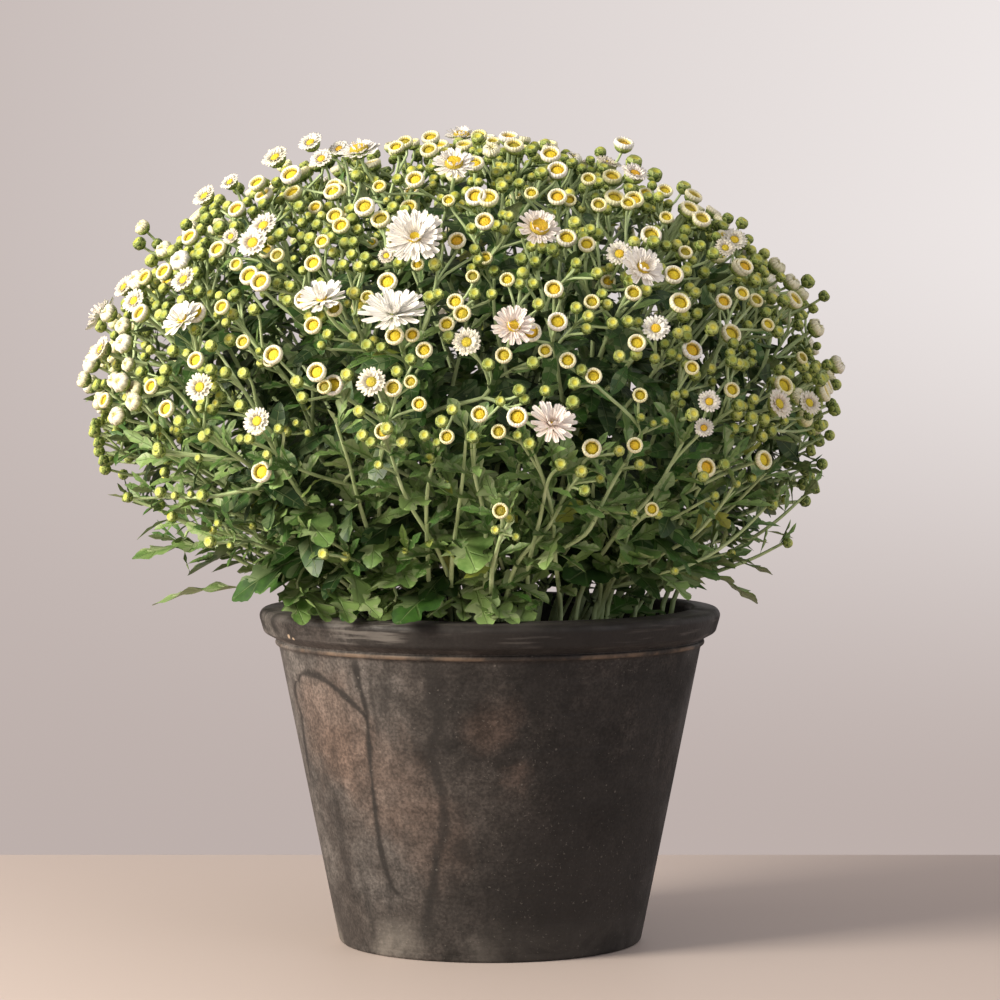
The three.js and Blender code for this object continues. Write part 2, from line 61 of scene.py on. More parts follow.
# The pot is hand-turned clay with a heavy collar, a thin bead under it and a straight wall.
# Years outdoors have darkened it, with run marks down the wall and salts at the foot.
MM = 0.001
pot_segments, pot_sway, longest_run_mm = 120, 0.00025, 12.0
pot_outline_mm = [
    (0, 0, 0), (87.6, 0, 2.4), (122.3, 172.2, 1.2), (124.5, 173.6, 1.0), (124.4, 175.4, 0.8),
    (123.4, 176.6, 0.8), (131.0, 180.6, 1.6), (134.0, 190.8, 2.6), (131.6, 194.0, 1.4),
    (118.4, 195.0, 2.0), (116.0, 193.4, 1.6), (115.7, 186.0, 1.0), (112.0, 172.0, 2.0),
    (79.4, 13.0, 3.0), (0, 13.0, 0),
]
clay_dark = (0.016, 0.014, 0.013)
clay_brown = (0.047, 0.040, 0.036)
clay_grey = (0.105, 0.094, 0.087)
clay_warm = (0.143, 0.096, 0.075)
clay_tan = (0.200, 0.135, 0.090)
clay_salt = (0.330, 0.300, 0.265)
clay_rubbed_and_sheen = (0.190, 0.175, 0.160)
clay_fresh = (0.450, 0.340, 0.240)


def softened(corners, steps=4):
    """A profile whose inner corners are rounded off over the length that each one gives."""
    line = [corners[0][:2]]
    for before, corner, after in zip(corners, corners[1:], corners[2:]):
        here = np.array(corner[:2], float)
        soft = corner[2]
        back = np.array(before[:2], float) - here
        on = np.array(after[:2], float) - here
        start = here + back * min(soft / np.linalg.norm(back), 0.5)
        end = here + on * min(soft / np.linalg.norm(on), 0.5)
        for step in range(steps + 1):
            t = step / steps
            line.append(tuple((1 - t) ** 2 * start + 2 * t * (1 - t) * here + t * t * end))
    line.append(corners[-1][:2])
    return line


def split_long(line, longest):
    """The same profile with its long straight runs cut into shorter ones."""
    fine = [line[0]]
    for start, end in zip(line, line[1:]):
        parts = max(1, math.ceil(math.dist(start, end) / longest))
        for part in range(1, parts + 1):
            t = part / parts
            fine.append((start[0] + (end[0] - start[0]) * t, start[1] + (end[1] - start[1]) * t))
    return fine


def mesh_piece(name, points, faces, edges=(), smooth=True):
    """A mesh object in the scene, at the origin."""
    mesh = bpy.data.meshes.new(name)
    mesh.from_pydata([tuple(point) for point in points], edges, faces)
    mesh.update()
    mesh.shade_smooth() if smooth else mesh.shade_flat()
    piece = bpy.data.objects.new(name, mesh)
    bpy.context.scene.collection.objects.link(piece)
    return piece


def turned_faces(rings, segments):
    """Faces between rings of points about an axis. Each corner is also given as (turns, ring)."""
    faces, corners = [], []
    for step, (low, high) in enumerate(zip(rings, rings[1:])):
        for place in range(segments):
            after = (place + 1) % segments
            u0, u1 = place / segments, (place + 1) / segments
            if len(low) == 1:
                faces.append((low[0], high[after], high[place]))
                corners += [((u0 + u1) / 2, step), (u1, step + 1), (u0, step + 1)]
            elif len(high) == 1:
                faces.append((low[place], low[after], high[0]))
                corners += [(u0, step), (u1, step), ((u0 + u1) / 2, step + 1)]
            else:
                faces.append((low[place], low[after], high[after], high[place]))
                corners += [(u0, step), (u1, step), (u1, step + 1), (u0, step + 1)]
    return faces, corners


def turned_mesh(profile, segments, sway=0.0):
    """Points and faces of a profile turned about Z. Its two ends are on the axis."""
    points, rings = [], []
    for radius, height in profile:
        ring = []
        for place in range(1 if radius < 1e-6 else segments):
            turn = 2 * math.pi * place / segments
            out = sway * (math.sin(2 * turn + 0.7) + 0.6 * math.sin(3 * turn + 9 * height + 1.9))
            reach = 0.0 if radius < 1e-6 else radius + out
            ring.append(len(points))
            points.append((reach * math.cos(turn), reach * math.sin(turn), height))
        rings.append(ring)
    return points, turned_faces(rings, segments)[0]


class Reading:
    """An output in a node tree. Sums written with it become Math nodes of that tree."""

    def __init__(self, tree, socket):
        self.tree, self.socket = tree, socket

    def by(self, kind, *others, **settings):
        feeds = dict(enumerate((self, *others)))
        return read(self.tree, "ShaderNodeMath", feeds, operation=kind, **settings)

    def __add__(self, other):
        return self.by("ADD", other)

    def __sub__(self, other):
        return self.by("SUBTRACT", other)

    def __mul__(self, other):
        return self.by("MULTIPLY", other)

    def __truediv__(self, other):
        return self.by("DIVIDE", other)

    def __pow__(self, other):
        return self.by("POWER", other)

    def __abs__(self):
        return self.by("ABSOLUTE")

    def ramp(self, low, high, to_low=0.0, to_high=1.0):
        """A soft step from one value to another as this one goes from low to high."""
        feeds = {"Value": self, "From Min": low, "From Max": high, "To Min": to_low, "To Max": to_high}
        return read(self.tree, "ShaderNodeMapRange", feeds, "Result", interpolation_type="SMOOTHSTEP")

    def noise(self, scale, detail, **more):
        """Noise at this place."""
        feeds = {"Vector": self, "Scale": scale, "Detail": detail, **more}
        return read(self.tree, "ShaderNodeTexNoise", feeds, "Fac")

    def stretched(self, scale):
        """This place on a grid with other steps along each axis."""
        return read(self.tree, "ShaderNodeMapping", {"Vector": self, "Scale": scale})

    def parts(self):
        """The X, Y and Z of this place."""
        node = put(self.tree, "ShaderNodeSeparateXYZ", {"Vector": self})
        return [Reading(self.tree, output) for output in node.outputs]

    def paint(self, share, tint, kind="MIX"):
        """This colour with a share of another laid over it."""
        return blend(self.tree, share, self, tint, kind)

    def raised(self, depth):
        """A normal that follows this height."""
        feeds = {"Strength": 1.0, "Distance": depth, "Height": self}
        return read(self.tree, "ShaderNodeBump", feeds, "Normal")

    def to(self, socket):
        self.tree.links.new(self.socket, socket)


def put(tree, kind, feeds=None, **settings):
    """A node of a tree. Feeds are its inputs: a value is set, and a reading is linked."""
    node = tree.nodes.new(kind)
    for name, value in settings.items():
        setattr(node, name, value)
    for name, value in (feeds or {}).items():
        socket = node.inputs[name]
        if isinstance(value, Reading):
            value.to(socket)
        else:
            socket.default_value = (*value, 1.0) if socket.type == "RGBA" else value
    return node


def read(tree, kind, feeds=None, give=0, **settings):
    """One output of a new node."""
    return Reading(tree, put(tree, kind, feeds, **settings).outputs[give])


def blend(tree, share, one, other, kind="MIX"):
    """One colour that turns into another by a share."""
    return read(tree, "ShaderNodeMix", {0: share, 6: one, 7: other}, 2, data_type="RGBA", blend_type=kind)


def length_of(one, other):
    """The length of a line from its two parts."""
    return (one ** 2.0 + other ** 2.0).by("SQRT")


def new_group(family, name, inputs, output):
    """A node group, its named inputs, and the socket of its one output."""
    group = bpy.data.node_groups.new(name, family + "NodeTree")
    for in_out, sockets in (("INPUT", inputs), ("OUTPUT", output)):
        for title, kind in sockets.items():
            group.interface.new_socket(title, in_out=in_out, socket_type="NodeSocket" + kind)
    gets = group.nodes.new("NodeGroupInput").outputs
    gives = group.nodes.new("NodeGroupOutput").inputs
    return group, {title: Reading(group, gets[title]) for title in inputs}, gives[0]


def new_finish(name, levels):
    """A material with levels of its Principled shader set, its tree and the shader's inputs."""
    finish = bpy.data.materials.new(name)
    finish.use_nodes = True
    inputs = finish.node_tree.nodes["Principled BSDF"].inputs
    for title, level in levels.items():
        inputs[title].default_value = level
    return finish, finish.node_tree, inputs


# Mottle: three tones of one colour in soft spots, shifted by a tone that each copy carries.
mottle, gets, gives = new_group("Shader", "mottle", {
    "Dark": "Color", "Middle": "Color", "Light": "Color", "Scale": "Float", "Spots": "Float", "Tone": "Float",
}, {"Colour": "Color"})
spots = read(mottle, "ShaderNodeTexCoord", give="Object").noise(gets["Scale"], 5.0, Roughness=0.6)
shift = (spots - 0.5) * (gets["Spots"] * 3.0) + gets["Tone"]
lower = blend(mottle, shift.ramp(0.0, 0.5), gets["Dark"], gets["Middle"])
lower.paint(shift.ramp(0.5, 1.0), gets["Light"]).to(gives)

# Grain: a fine rough surface of two sizes, as a normal.
grain, gets, gives = new_group("Shader", "grain", {
    "Coarse": "Float", "Fine": "Float", "Depth": "Float"}, {"Normal": "Vector"})
where = read(grain, "ShaderNodeTexCoord", give="Object")
(where.noise(gets["Coarse"], 4.0) + where.noise(gets["Fine"], 2.0) * 0.5).raised(gets["Depth"]).to(gives)


def mottled(tree, dark, middle, light, scale, spots, tone):
    feeds = {"Dark": dark, "Middle": middle, "Light": light, "Scale": scale, "Spots": spots, "Tone": tone}
    return read(tree, "ShaderNodeGroup", feeds, node_tree=mottle)


def grained(tree, coarse, fine, depth):
    feeds = {"Coarse": coarse, "Fine": fine, "Depth": depth}
    return read(tree, "ShaderNodeGroup", feeds, node_tree=grain)


# Places on the pot: height, turn from the front, distance from the axis, and the two ways that
# it faces. Wander moves the edges of marks about.
clay, tree, shader = new_finish("weathered_clay", {"Specular IOR Level": 0.28})
where = read(tree, "ShaderNodeTexCoord", give="Object")
x, y, up_pot = where.parts()
around = x.by("ARCTAN2", y * -1.0)
from_axis = length_of(x, y)
sideways, backwards = (part / from_axis.by("MAXIMUM", 0.001) for part in (x, y))
patchy = where.noise(55.0, 5.0)
wander = patchy - 0.5
broad = where.noise(13.0, 8.0, Roughness=0.62, Distortion=0.4)
# The mottle's tone is painted lighter on the left, towards the key light, and darker on the right: painted
# light and shade.
painted_side_light = sideways.ramp(0.40, -0.82, -0.28, 0.27)
colour = mottled(tree, clay_dark, clay_brown, clay_grey, 17.0, 0.62, painted_side_light + 0.40)

# Warm bare clay shows through in a few patches: turn about the pot, height and size.
patch_radius, wall_radius, blot_radius = 0.112, 0.115, 0.100
warm_patches = [(-0.93, 0.134, 0.044, 0.52), (-0.62, 0.104, 0.044, 0.34), (0.0, 0.133, 0.026, 0.28),
                (0.155, 0.112, 0.020, 0.42), (-0.33, 0.070, 0.032, 0.22), (2.2, 0.110, 0.040, 0.60),
                (-2.6, 0.060, 0.035, 0.50)]
for turn, rise, size, share in warm_patches:
    away = length_of((around - turn) * patch_radius, up_pot - rise) + (broad - 0.5) * 0.09
    colour = colour.paint(away.ramp(size, size * 0.3, 0.0, share), clay_warm)

# A finer mottle and sand break up all of them, and the shaded side is darker low down.
finer_spots, sandy = where.noise(95.0, 8.0, Roughness=0.68), where.noise(560.0, 3.0)
colour = colour.paint(1.0, finer_spots.ramp(0.30, 0.70, 0.60, 1.40), "MULTIPLY")
colour = colour.paint(1.0, sandy.ramp(0.36, 0.64, 0.72, 1.28), "MULTIPLY")
colour = colour.paint(up_pot.ramp(0.150, 0.030) * sideways.ramp(-0.32, 0.30, 0.0, 0.80), clay_dark)

# Long soft streaks run down the wall.
streak_grid = read(tree, "ShaderNodeCombineXYZ", {
    "X": sideways * 7.0, "Y": up_pot * 9.0, "Z": backwards * 7.0})
colour = colour.paint(streak_grid.noise(1.6, 6.0).ramp(0.52, 0.74, 0.0, 0.62), clay_dark)

# Run marks: turn about the pot at each height from end to end, half width and depth of tone.
# The last one bows over to the side before it joins the longest run.
run_marks = [
    ([(-0.520, 0.0354), (-0.590, 0.0400), (-0.613, 0.0439), (-0.655, 0.067), (-0.653, 0.1035),
      (-0.633, 0.140), (-0.651, 0.1573), (-0.659, 0.1691)], 0.0023, 0.90),
    ([(-0.437, 0.0119), (-0.300, 0.0602), (-0.245, 0.0877), (-0.268, 0.1058), (-0.294, 0.1238),
      (-0.246, 0.138), (-0.279, 0.1508), (-0.271, 0.1665)], 0.0040, 0.74),
    ([(-1.285, 0.096), (-1.255, 0.118), (-1.215, 0.134), (-1.235, 0.146), (-1.15, 0.1552)], 0.0030, 0.80),
    ([(-0.960, 0.040), (-0.990, 0.062), (-0.970, 0.080), (-0.985, 0.094)], 0.0050, 0.45),
    ([(1.10, 0.020), (1.14, 0.070), (1.09, 0.120), (1.12, 0.168)], 0.0026, 0.50),
    ([(2.60, 0.050), (2.68, 0.100), (2.62, 0.150), (2.66, 0.170)], 0.0022, 0.70),
    ([(-2.20, 0.015), (-2.12, 0.080), (-2.17, 0.130), (-2.14, 0.170)], 0.0024, 0.65),
]
bow = [(-1.150, 0.1552), (-1.058, 0.1607), (-0.923, 0.1597), (-0.793, 0.1529), (-0.682, 0.1441),
       (-0.634, 0.1388)]
wobble = wander * 0.006


def drawn_curve(value, pairs):
    """A value that follows a drawn curve through pairs of input and output."""
    low, high = min(pair[0] for pair in pairs), max(pair[0] for pair in pairs)
    least, most = min(pair[1] for pair in pairs), max(pair[1] for pair in pairs)
    share = (value - low).by("DIVIDE", high - low, use_clamp=True)
    node = put(value.tree, "ShaderNodeFloatCurve", {"Value": share})
    drawn = node.mapping.curves[0]
    spots = [((a - low) / (high - low), (b - least) / (most - least)) for a, b in sorted(pairs)]
    drawn.points[0].location, drawn.points[-1].location = spots[0], spots[-1]
    for spot in spots[1:-1]:
        drawn.points.new(*spot)
    node.mapping.update()
    return Reading(value.tree, node.outputs[0]) * (most - least) + least


for course, half_width, share in run_marks:
    rises = [rise for turn, rise in course]
    middle = drawn_curve(up_pot, [(rise, turn) for turn, rise in course])
    off = abs((around - middle) * wall_radius) + wobble
    mark = off.ramp(half_width * 1.35, half_width * 0.10, 0.0, share)
    mark = mark * up_pot.ramp(min(rises) - 0.002, min(rises) + 0.004)
    colour = colour.paint(mark * up_pot.ramp(max(rises) + 0.006, max(rises) - 0.002), clay_dark)
off = abs(up_pot - drawn_curve(around, bow)) + wobble
mark = off.ramp(0.0036, 0.0006, 0.0, 0.86) * around.ramp(-1.16, -1.13) * around.ramp(-0.628, -0.64)
colour = colour.paint(mark, clay_dark)

specks = where.noise(620.0, 2.0)
dots = read(tree, "ShaderNodeTexVoronoi", {"Vector": where, "Scale": 85.0}, "Distance")
blot = length_of((around + 0.161) * blot_radius, up_pot - 0.0652) + wander * 0.01
on_collar = up_pot.ramp(0.177, 0.181)
scuffs = where.stretched((30.0, 30.0, 420.0)).noise(1.0, 5.0)
for share, tint in (
        # A dark thumb-sized blot low on the front.
        (blot.ramp(0.008, 0.004, 0.0, 0.6), clay_dark),
        # Salts bloom at the foot, and dust clings all over in pale specks and dots.
        (up_pot.ramp(0.030, 0.0) * broad.ramp(0.42, 0.62) * sideways.ramp(0.2, -0.78, 0.12, 0.60), clay_salt),
        (specks.by("GREATER_THAN", broad.ramp(0.40, 0.70, 0.73, 0.665)) * 0.17, clay_salt),
        (dots.by("LESS_THAN", 0.055) * 0.20, clay_salt),
        # The bead and the collar's outer edge are rubbed down to tan and grey clay.
        (up_pot.ramp(0.1726, 0.1736) * up_pot.ramp(0.1758, 0.1748) * patchy.ramp(0.42, 0.60, 0.06, 0.60),
         clay_tan),
        (up_pot.ramp(0.1895, 0.1915) * from_axis.ramp(0.1290, 0.1325) * patchy.ramp(0.42, 0.62, 0.1, 0.75),
         clay_grey),
        # Painted shade darkens the collar towards the right, the top of its lip is painted lighter where
        # light falls on it, and its scuffs are grey.
        (on_collar * sideways.ramp(-0.86, -0.34, 0.10, 0.82), clay_dark),
        (up_pot.ramp(0.1925, 0.1940) * from_axis.ramp(0.133, 0.130) * 0.45, clay_grey),
        (on_collar * scuffs.ramp(0.55, 0.72, 0.0, 0.45), clay_grey),
        # At its left a stretch is rubbed pale and also carries a painted highlight where light catches the
        # collar, and a patch of mould is dark.
        (sideways.ramp(-0.70, -0.60) * sideways.ramp(-0.30, -0.42) * up_pot.ramp(0.1800, 0.1840)
         * scuffs.ramp(0.46, 0.60, 0.0, 0.55), clay_rubbed_and_sheen),
        (sideways.ramp(-0.885, -0.925) * up_pot.ramp(0.1815, 0.1850) * backwards.ramp(-0.08, -0.16)
         * patchy.ramp(0.40, 0.54, 0.0, 0.85), clay_dark)):
    colour = colour.paint(share, tint)

# Chips in the collar show fresh clay: turn, height and size.
collar_radius = 0.1315
for turn, rise, size in ((-1.034, 0.1826, 0.0021), (0.544, 0.1777, 0.0014), (-1.00, 0.1812, 0.0014)):
    spot = (collar_radius * math.sin(turn), -collar_radius * math.cos(turn), rise)
    away = read(tree, "ShaderNodeVectorMath", {0: where, 1: spot}, "Value", operation="DISTANCE")
    colour = colour.paint((away + wander * 0.010).ramp(size, size * 0.6, 0.0, 0.9), clay_fresh)

colour.to(shader["Base Color"])
where.noise(34.0, 6.0).ramp(0.35, 0.68, 0.50, 0.84).to(shader["Roughness"])
throwing = where.stretched((3.0, 3.0, 300.0)).noise(1.0, 4.0)
(throwing * 0.5 + patchy * 0.5 + specks * 0.22).raised(0.0008).to(shader["Normal"])

pot_profile = [(r * MM, z * MM) for r, z in split_long(softened(pot_outline_mm), longest_run_mm)]
pot = mesh_piece("clay_pot", *turned_mesh(pot_profile, pot_segments, pot_sway))
pot.data.materials.append(clay)
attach(pot, "root")
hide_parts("pot")


# The pot is filled with dark, moist, crumbly compost to a little below its lip.
# Loose crumbs of bark and peat lie over it, and each stem comes out of it.
soil_outline_mm = [(0, 13.3, 0), (79.0, 13.3, 1), (109.0, 166.8, 2), (90.0, 171.6, 4), (0, 171.6, 0)]
soil_segments, soil_run_mm = 72, 5.0
soil_lumps, lumps_above, lumps_each_metre = 0.0026, 0.160, 60.0
crumb_size, crumbs_above = 0.0021, 0.1655
crumbs_each_square_metre = 14000.0

compost, tree, shader = new_finish("moist_compost", {"Roughness": 0.92})
earth = mottled(tree, (0.008, 0.006, 0.004), (0.026, 0.017, 0.011), (0.075, 0.050, 0.032), 260.0, 0.9, 0.42)
earth.to(shader["Base Color"])
grained(tree, 500.0, 1900.0, 0.0009).to(shader["Normal"])

soil_profile = [(r * MM, z * MM) for r, z in split_long(softened(soil_outline_mm), soil_run_mm)]
soil_points, soil_faces = turned_mesh(soil_profile, soil_segments)
soil_points = np.array(soil_points)
for place in np.nonzero(soil_points[:, 2] > lumps_above)[0]:
    spot = Vector(soil_points[place]) * lumps_each_metre
    soil_points[place, 2] += soil_lumps * noise.fractal(spot, 1.0, 2.0, 4)
bed = mesh_piece("compost_bed", soil_points, soil_faces)

crumb_mesh = bpy.data.meshes.new("crumb")
crumb_points = np.array([
    (1, 0, 0), (-1, 0.1, 0), (0, 1.2, 0), (0.1, -0.9, 0), (0, 0, 0.8), (0.1, 0.1, -0.8), (0.7, 0.7, 0.3),
    (-0.6, -0.7, 0.4)])
crumb_faces = [(4, 0, 6), (4, 6, 2), (4, 2, 1), (4, 1, 7), (4, 7, 3), (4, 3, 0), (5, 6, 0), (5, 2, 6),
               (5, 1, 2), (5, 7, 1), (5, 3, 7), (5, 0, 3)]
crumb_mesh.from_pydata([tuple(p) for p in crumb_points * 0.5], [], crumb_faces)
crumb = bpy.data.objects.new("crumb", crumb_mesh)


def made_real(geometry, finish, gives):
    """The end of a Geometry Nodes tree: its copies are made real in one material."""
    real = read(geometry.tree, "GeometryNodeRealizeInstances", {"Geometry": geometry})
    read(geometry.tree, "GeometryNodeSetMaterial", {"Geometry": real, "Material": finish}).to(gives)


crumbs_tree, gets, gives = new_group("Geometry", "loose_crumbs", {
    "Bed": "Geometry", "Crumb": "Object", "Density": "Float", "Size": "Float", "Seed": "Int",
    "Finish": "Material"}, {"Bed": "Geometry"})
height = read(crumbs_tree, "GeometryNodeInputPosition").parts()[2]
is_top = read(crumbs_tree, "FunctionNodeCompare", {"A": height, "B": crumbs_above}, data_type="FLOAT",
              operation="GREATER_THAN")
strewn = read(crumbs_tree, "GeometryNodeDistributePointsOnFaces", {
    "Mesh": gets["Bed"], "Selection": is_top, "Density": gets["Density"], "Seed": gets["Seed"]})
turned_about = read(crumbs_tree, "FunctionNodeRandomValue", {
    "Min": (0.0, 0.0, 0.0), "Max": (6.28, 6.28, 6.28)}, data_type="FLOAT_VECTOR")
swelling = read(crumbs_tree, "FunctionNodeRandomValue", {2: 0.35, 3: 1.5}, 1, data_type="FLOAT")
one_crumb = read(crumbs_tree, "GeometryNodeObjectInfo", {"Object": gets["Crumb"]}, "Geometry")
lumps = read(crumbs_tree, "GeometryNodeInstanceOnPoints", {
    "Points": strewn, "Instance": one_crumb, "Rotation": turned_about, "Scale": swelling * gets["Size"]})
joined = crumbs_tree.nodes.new("GeometryNodeJoinGeometry")
gets["Bed"].to(joined.inputs[0])
lumps.to(joined.inputs[0])
made_real(Reading(crumbs_tree, joined.outputs[0]), gets["Finish"], gives)


def grown(holder, tree, values, spare=()):
    """Runs a Geometry Nodes tree on an object and keeps the result as its plain mesh."""
    modifier = holder.modifiers.new(tree.name, "NODES")
    modifier.node_group = tree
    for item in tree.interface.items_tree:
        if item.in_out == "INPUT" and item.name in values:
            modifier[item.identifier] = values[item.name]
    reading = bpy.context.evaluated_depsgraph_get()
    mesh = bpy.data.meshes.new_from_object(holder.evaluated_get(reading))
    mesh.name = holder.name
    holder.modifiers.clear()
    holder.data = mesh
    for name in spare:
        if name in mesh.attributes:
            mesh.attributes.remove(mesh.attributes[name])
    return holder


grown(bed, crumbs_tree, {"Crumb": crumb, "Density": crumbs_each_square_metre, "Size": crumb_size,
                         "Seed": 7, "Finish": compost})
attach(bed, "root")
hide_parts("soil")


# The plant: stems rise from the compost, lean out and fork three times below their own head.
# Their heads lie on a dome, and the open flowers stand a little proud of it. All in mm.
dome_centre = Vector((-17.0, 0.0, 312.0))
dome_radius, dome_rise, dome_drop = 211.0, 151.0, 150.0
golden_turn = 137.508
stem_count, lowest_cosine = 22, -0.18
root_spread, soil_top = 78.0, 172.0
head_spacing, flower_proud, usual_lift = 41.0, 9.0, 0.35
first_fork, fork_step, fork_share = 0.46, 0.10, 0.56
leaf_reach, sprig_reach = 0.99, 1.05
collar_top, collar_inside = 206.0, 104.0
outer_tilt = 76.0
leaf_length, leaf_play = 58.0, (0.88, 1.06)
large_share, small_share, hanging_share = 0.70, 0.68, 1.06
up = Vector((0.0, 0.0, 1.0))

# Open flowers: tilt and turn of their place on the dome, width, lift of the face towards the
# sky, number of rays, radius of the yellow middle, and how pink the rays are.
open_flowers = [
    (55, -97, 34, 0.0, 58, 3.4, 0.10), (72, -99, 37, 1.1, 50, 2.6, 0.00), (69, -110, 28, 0.9, 34, 3.0, 0.05),
    (35, -91, 24, 0.0, 36, 4.4, 0.12), (53, -76, 24, 0.1, 40, 4.6, 0.45), (62, -60, 26, 0.2, 44, 3.6, 0.20),
    (74, -82, 24, 0.3, 36, 3.4, 0.60), (93, -77, 27, 0.8, 34, 2.4, 0.55), (73, -134, 25, 0.6, 34, 3.2, 0.00),
    (30, -119, 24, 0.5, 36, 4.6, 0.00), (16, 90, 22, 0.3, 34, 4.2, 0.10), (72, 172, 26, 0.5, 36, 3.6, 0.20),
    (46, 133, 32, 0.3, 48, 3.6, 0.10), (70, 92, 34, 0.5, 50, 3.6, 0.15), (55, 36, 27, 0.3, 38, 3.8, 0.40),
]


def draw(stem, part, kind):
    """A repeatable draw from 0 to 1 for one property of one part of one stem."""
    wave = math.sin(stem * 12.9898 + part * 78.233 + kind * 37.719) * 43758.5453
    return wave - math.floor(wave)


def spread(stem, part, kind, low, high):
    return low + (high - low) * draw(stem, part, kind)


def dome_share(point):
    """How far out a point lies: 1 is on the dome."""
    reach = point - dome_centre
    tall = dome_rise if reach.z > 0 else dome_drop
    return Vector((reach.x / dome_radius, reach.y / dome_radius, reach.z / tall)).length


def onto_dome(point, depth=0.0):
    reach = (point - dome_centre) / dome_share(point)
    return reach.normalized() * (reach.length - depth) + dome_centre


def dome_way(tilt, turn):
    level = math.sin(math.radians(tilt))
    around = math.radians(turn)
    return Vector((level * math.cos(around), level * math.sin(around), math.cos(math.radians(tilt))))


def dome_point(tilt, turn, depth=0.0):
    way = dome_way(tilt, turn)
    tall = dome_rise if way.z > 0 else dome_drop
    return onto_dome(Vector((way.x * dome_radius, way.y * dome_radius, way.z * tall)) + dome_centre, depth)


def facing(point, lift=usual_lift):
    """The way out of the dome at a point, lifted towards the sky."""
    return ((point - dome_centre).normalized() + up * lift).normalized()


def frame_at(point):
    """A level and a rising direction across the outward direction of a point."""
    outward = facing(point, 0.0)
    level = up.cross(outward).normalized()
    return level, outward.cross(level)


def ring_spot(middle, sides, away, around):
    """A point at a distance and a turn round a middle, in the plane of two sides."""
    level, rising = sides
    return middle + level * (away * math.cos(around)) + rising * (away * math.sin(around))


def square_to(line, axis):
    return (line - axis * line.dot(axis)).normalized()


def bezier(ends, t):
    a, b, c, d = ends
    return a * (1 - t) ** 3 + b * 3 * t * (1 - t) ** 2 + c * 3 * t * t * (1 - t) + d * t ** 3


def bezier_way(ends, t):
    a, b, c, d = ends
    return ((b - a) * (1 - t) ** 2 + (c - b) * 2 * t * (1 - t) + (d - c) * t * t).normalized()


def side_of(along, turn):
    """A direction square to a branch, at a turn about it."""
    side = along.orthogonal().normalized()
    side.rotate(Quaternion(along, math.radians(turn)))
    return side


stems = []
for order in range(stem_count):
    share = (order + 0.5) / stem_count
    tilt = math.degrees(math.acos(1 - share * (1 - lowest_cosine)))
    turn = order * golden_turn
    root = dome_way(90, turn) * (root_spread * math.sqrt(share))
    root.z = soil_top
    top = dome_point(tilt, turn)
    sides = frame_at(top)
    spin = 360 * draw(order, 0, 1)
    heads = [{"point": top}]
    for place in range(1, 7):
        around = math.radians(spin + 60 * place + spread(order, place, 2, -9, 9))
        away = head_spacing * spread(order, place, 3, 0.86, 1.06)
        point = ring_spot(top, sides, away, around)
        heads.append({"point": onto_dome(point, spread(order, place, 4, -4, 10))})
    for place, head in enumerate(heads):
        lot = draw(order, place, 5)
        head["stage"] = "tight" if lot < 0.42 else "ringed" if lot < 0.9 else "ragged"
    stems.append({"order": order, "tilt": tilt, "turn": turn, "root": root, "sides": sides,
                  "heads": heads, "twigs": {}})

for number, (tilt, turn, width, lift, rays, eye, pink) in enumerate(open_flowers):
    point = dome_point(tilt, turn, -flower_proud)
    free = [head for stem in stems for head in stem["heads"] if "flower" not in head]
    near = min(free, key=lambda head: (head["point"] - point).length)
    near.update(point=point, flower=number, stage="open", lift=lift, width=width)

tubes = {"stems": [], "twigs": []}
leaves = {"fine": [], "large": [], "small": [], "sprig": [], "inner": [], "bract": []}
bunch_heads = []


def add_leaf(kind, place, along, aside, open_angle, length, tone, droop=0.0):
    """A leaf that leaves a stem. Its rib runs out to the side given and its face looks up."""
    across = square_to(aside, along)
    opened = math.radians(open_angle)
    way = (along * math.cos(opened) + across * math.sin(opened) - up * droop).normalized()
    face = along.cross(way).normalized().cross(way)
    face = face if face.dot(along) > 0 else -face
    tip = place + way * length
    in_wall = tip.z < collar_top and math.hypot(tip.x, tip.y) > collar_inside
    if dome_share(tip) < (sprig_reach if kind == "sprig" else leaf_reach) and not in_wall:
        leaves[kind].append((place, way, face, length, tone))


# Runs of leaves along a branch: where they start and stop, the gap between them, their kind,
# sizes, angle and droop. Sizes of tubes: steps, and thickness at the foot and at the end.
leaf_runs = {
    "low stem": (0.06, 0.42, 11, "large", (28, 44), 58, 0.12),
    "high stem": (0.44, 0.86, 13, "small", (18, 30), 44, 0.05),
    "inside stem": (0.26, 0.56, 5, "inner", (28, 42), 72, 0.0),
    "inside top": (0.56, 0.90, 4, "inner", (20, 32), 66, 0.0),
    "outer stem": (0.30, 0.98, 5, "sprig", (18, 30), 48, 0.0),
    "fork": (0.12, 0.95, 15, "small", (20, 32), 46, 0.1),
    "inside fork": (0.05, 0.98, 8, "inner", (20, 34), 66, 0.0),
    "twig": (0.02, 0.62, 7, "inner", (18, 28), 58, 0.0),
    "side shoot": (0.10, 0.60, 15, "large", (24, 38), 54, 0.12),
    "shoot's end": (0.60, 0.96, 12, "small", (14, 26), 42, 0.0),
    "low shoot": (0.34, 0.96, 8, "sprig", (17, 28), 44, 0.0),
    "stalk": (0.10, 0.60, 11, "bract", (12, 24), 40, 0.0),
}
tube_sizes = {
    "stem": (26, 2.15, 1.15), "fork": (10, 1.35, 1.1), "side shoot": (14, 1.35, 0.9),
    "low shoot": (12, 1.25, 0.75), "twig": (8, 1.25, 1.05), "pedicel": (5, 0.7, 0.6),
    "leaf stalk": (4, 0.9, 0.8), "stalk": (6, 1.0, 0.8), "side": (4, 0.8, 0.8),
}


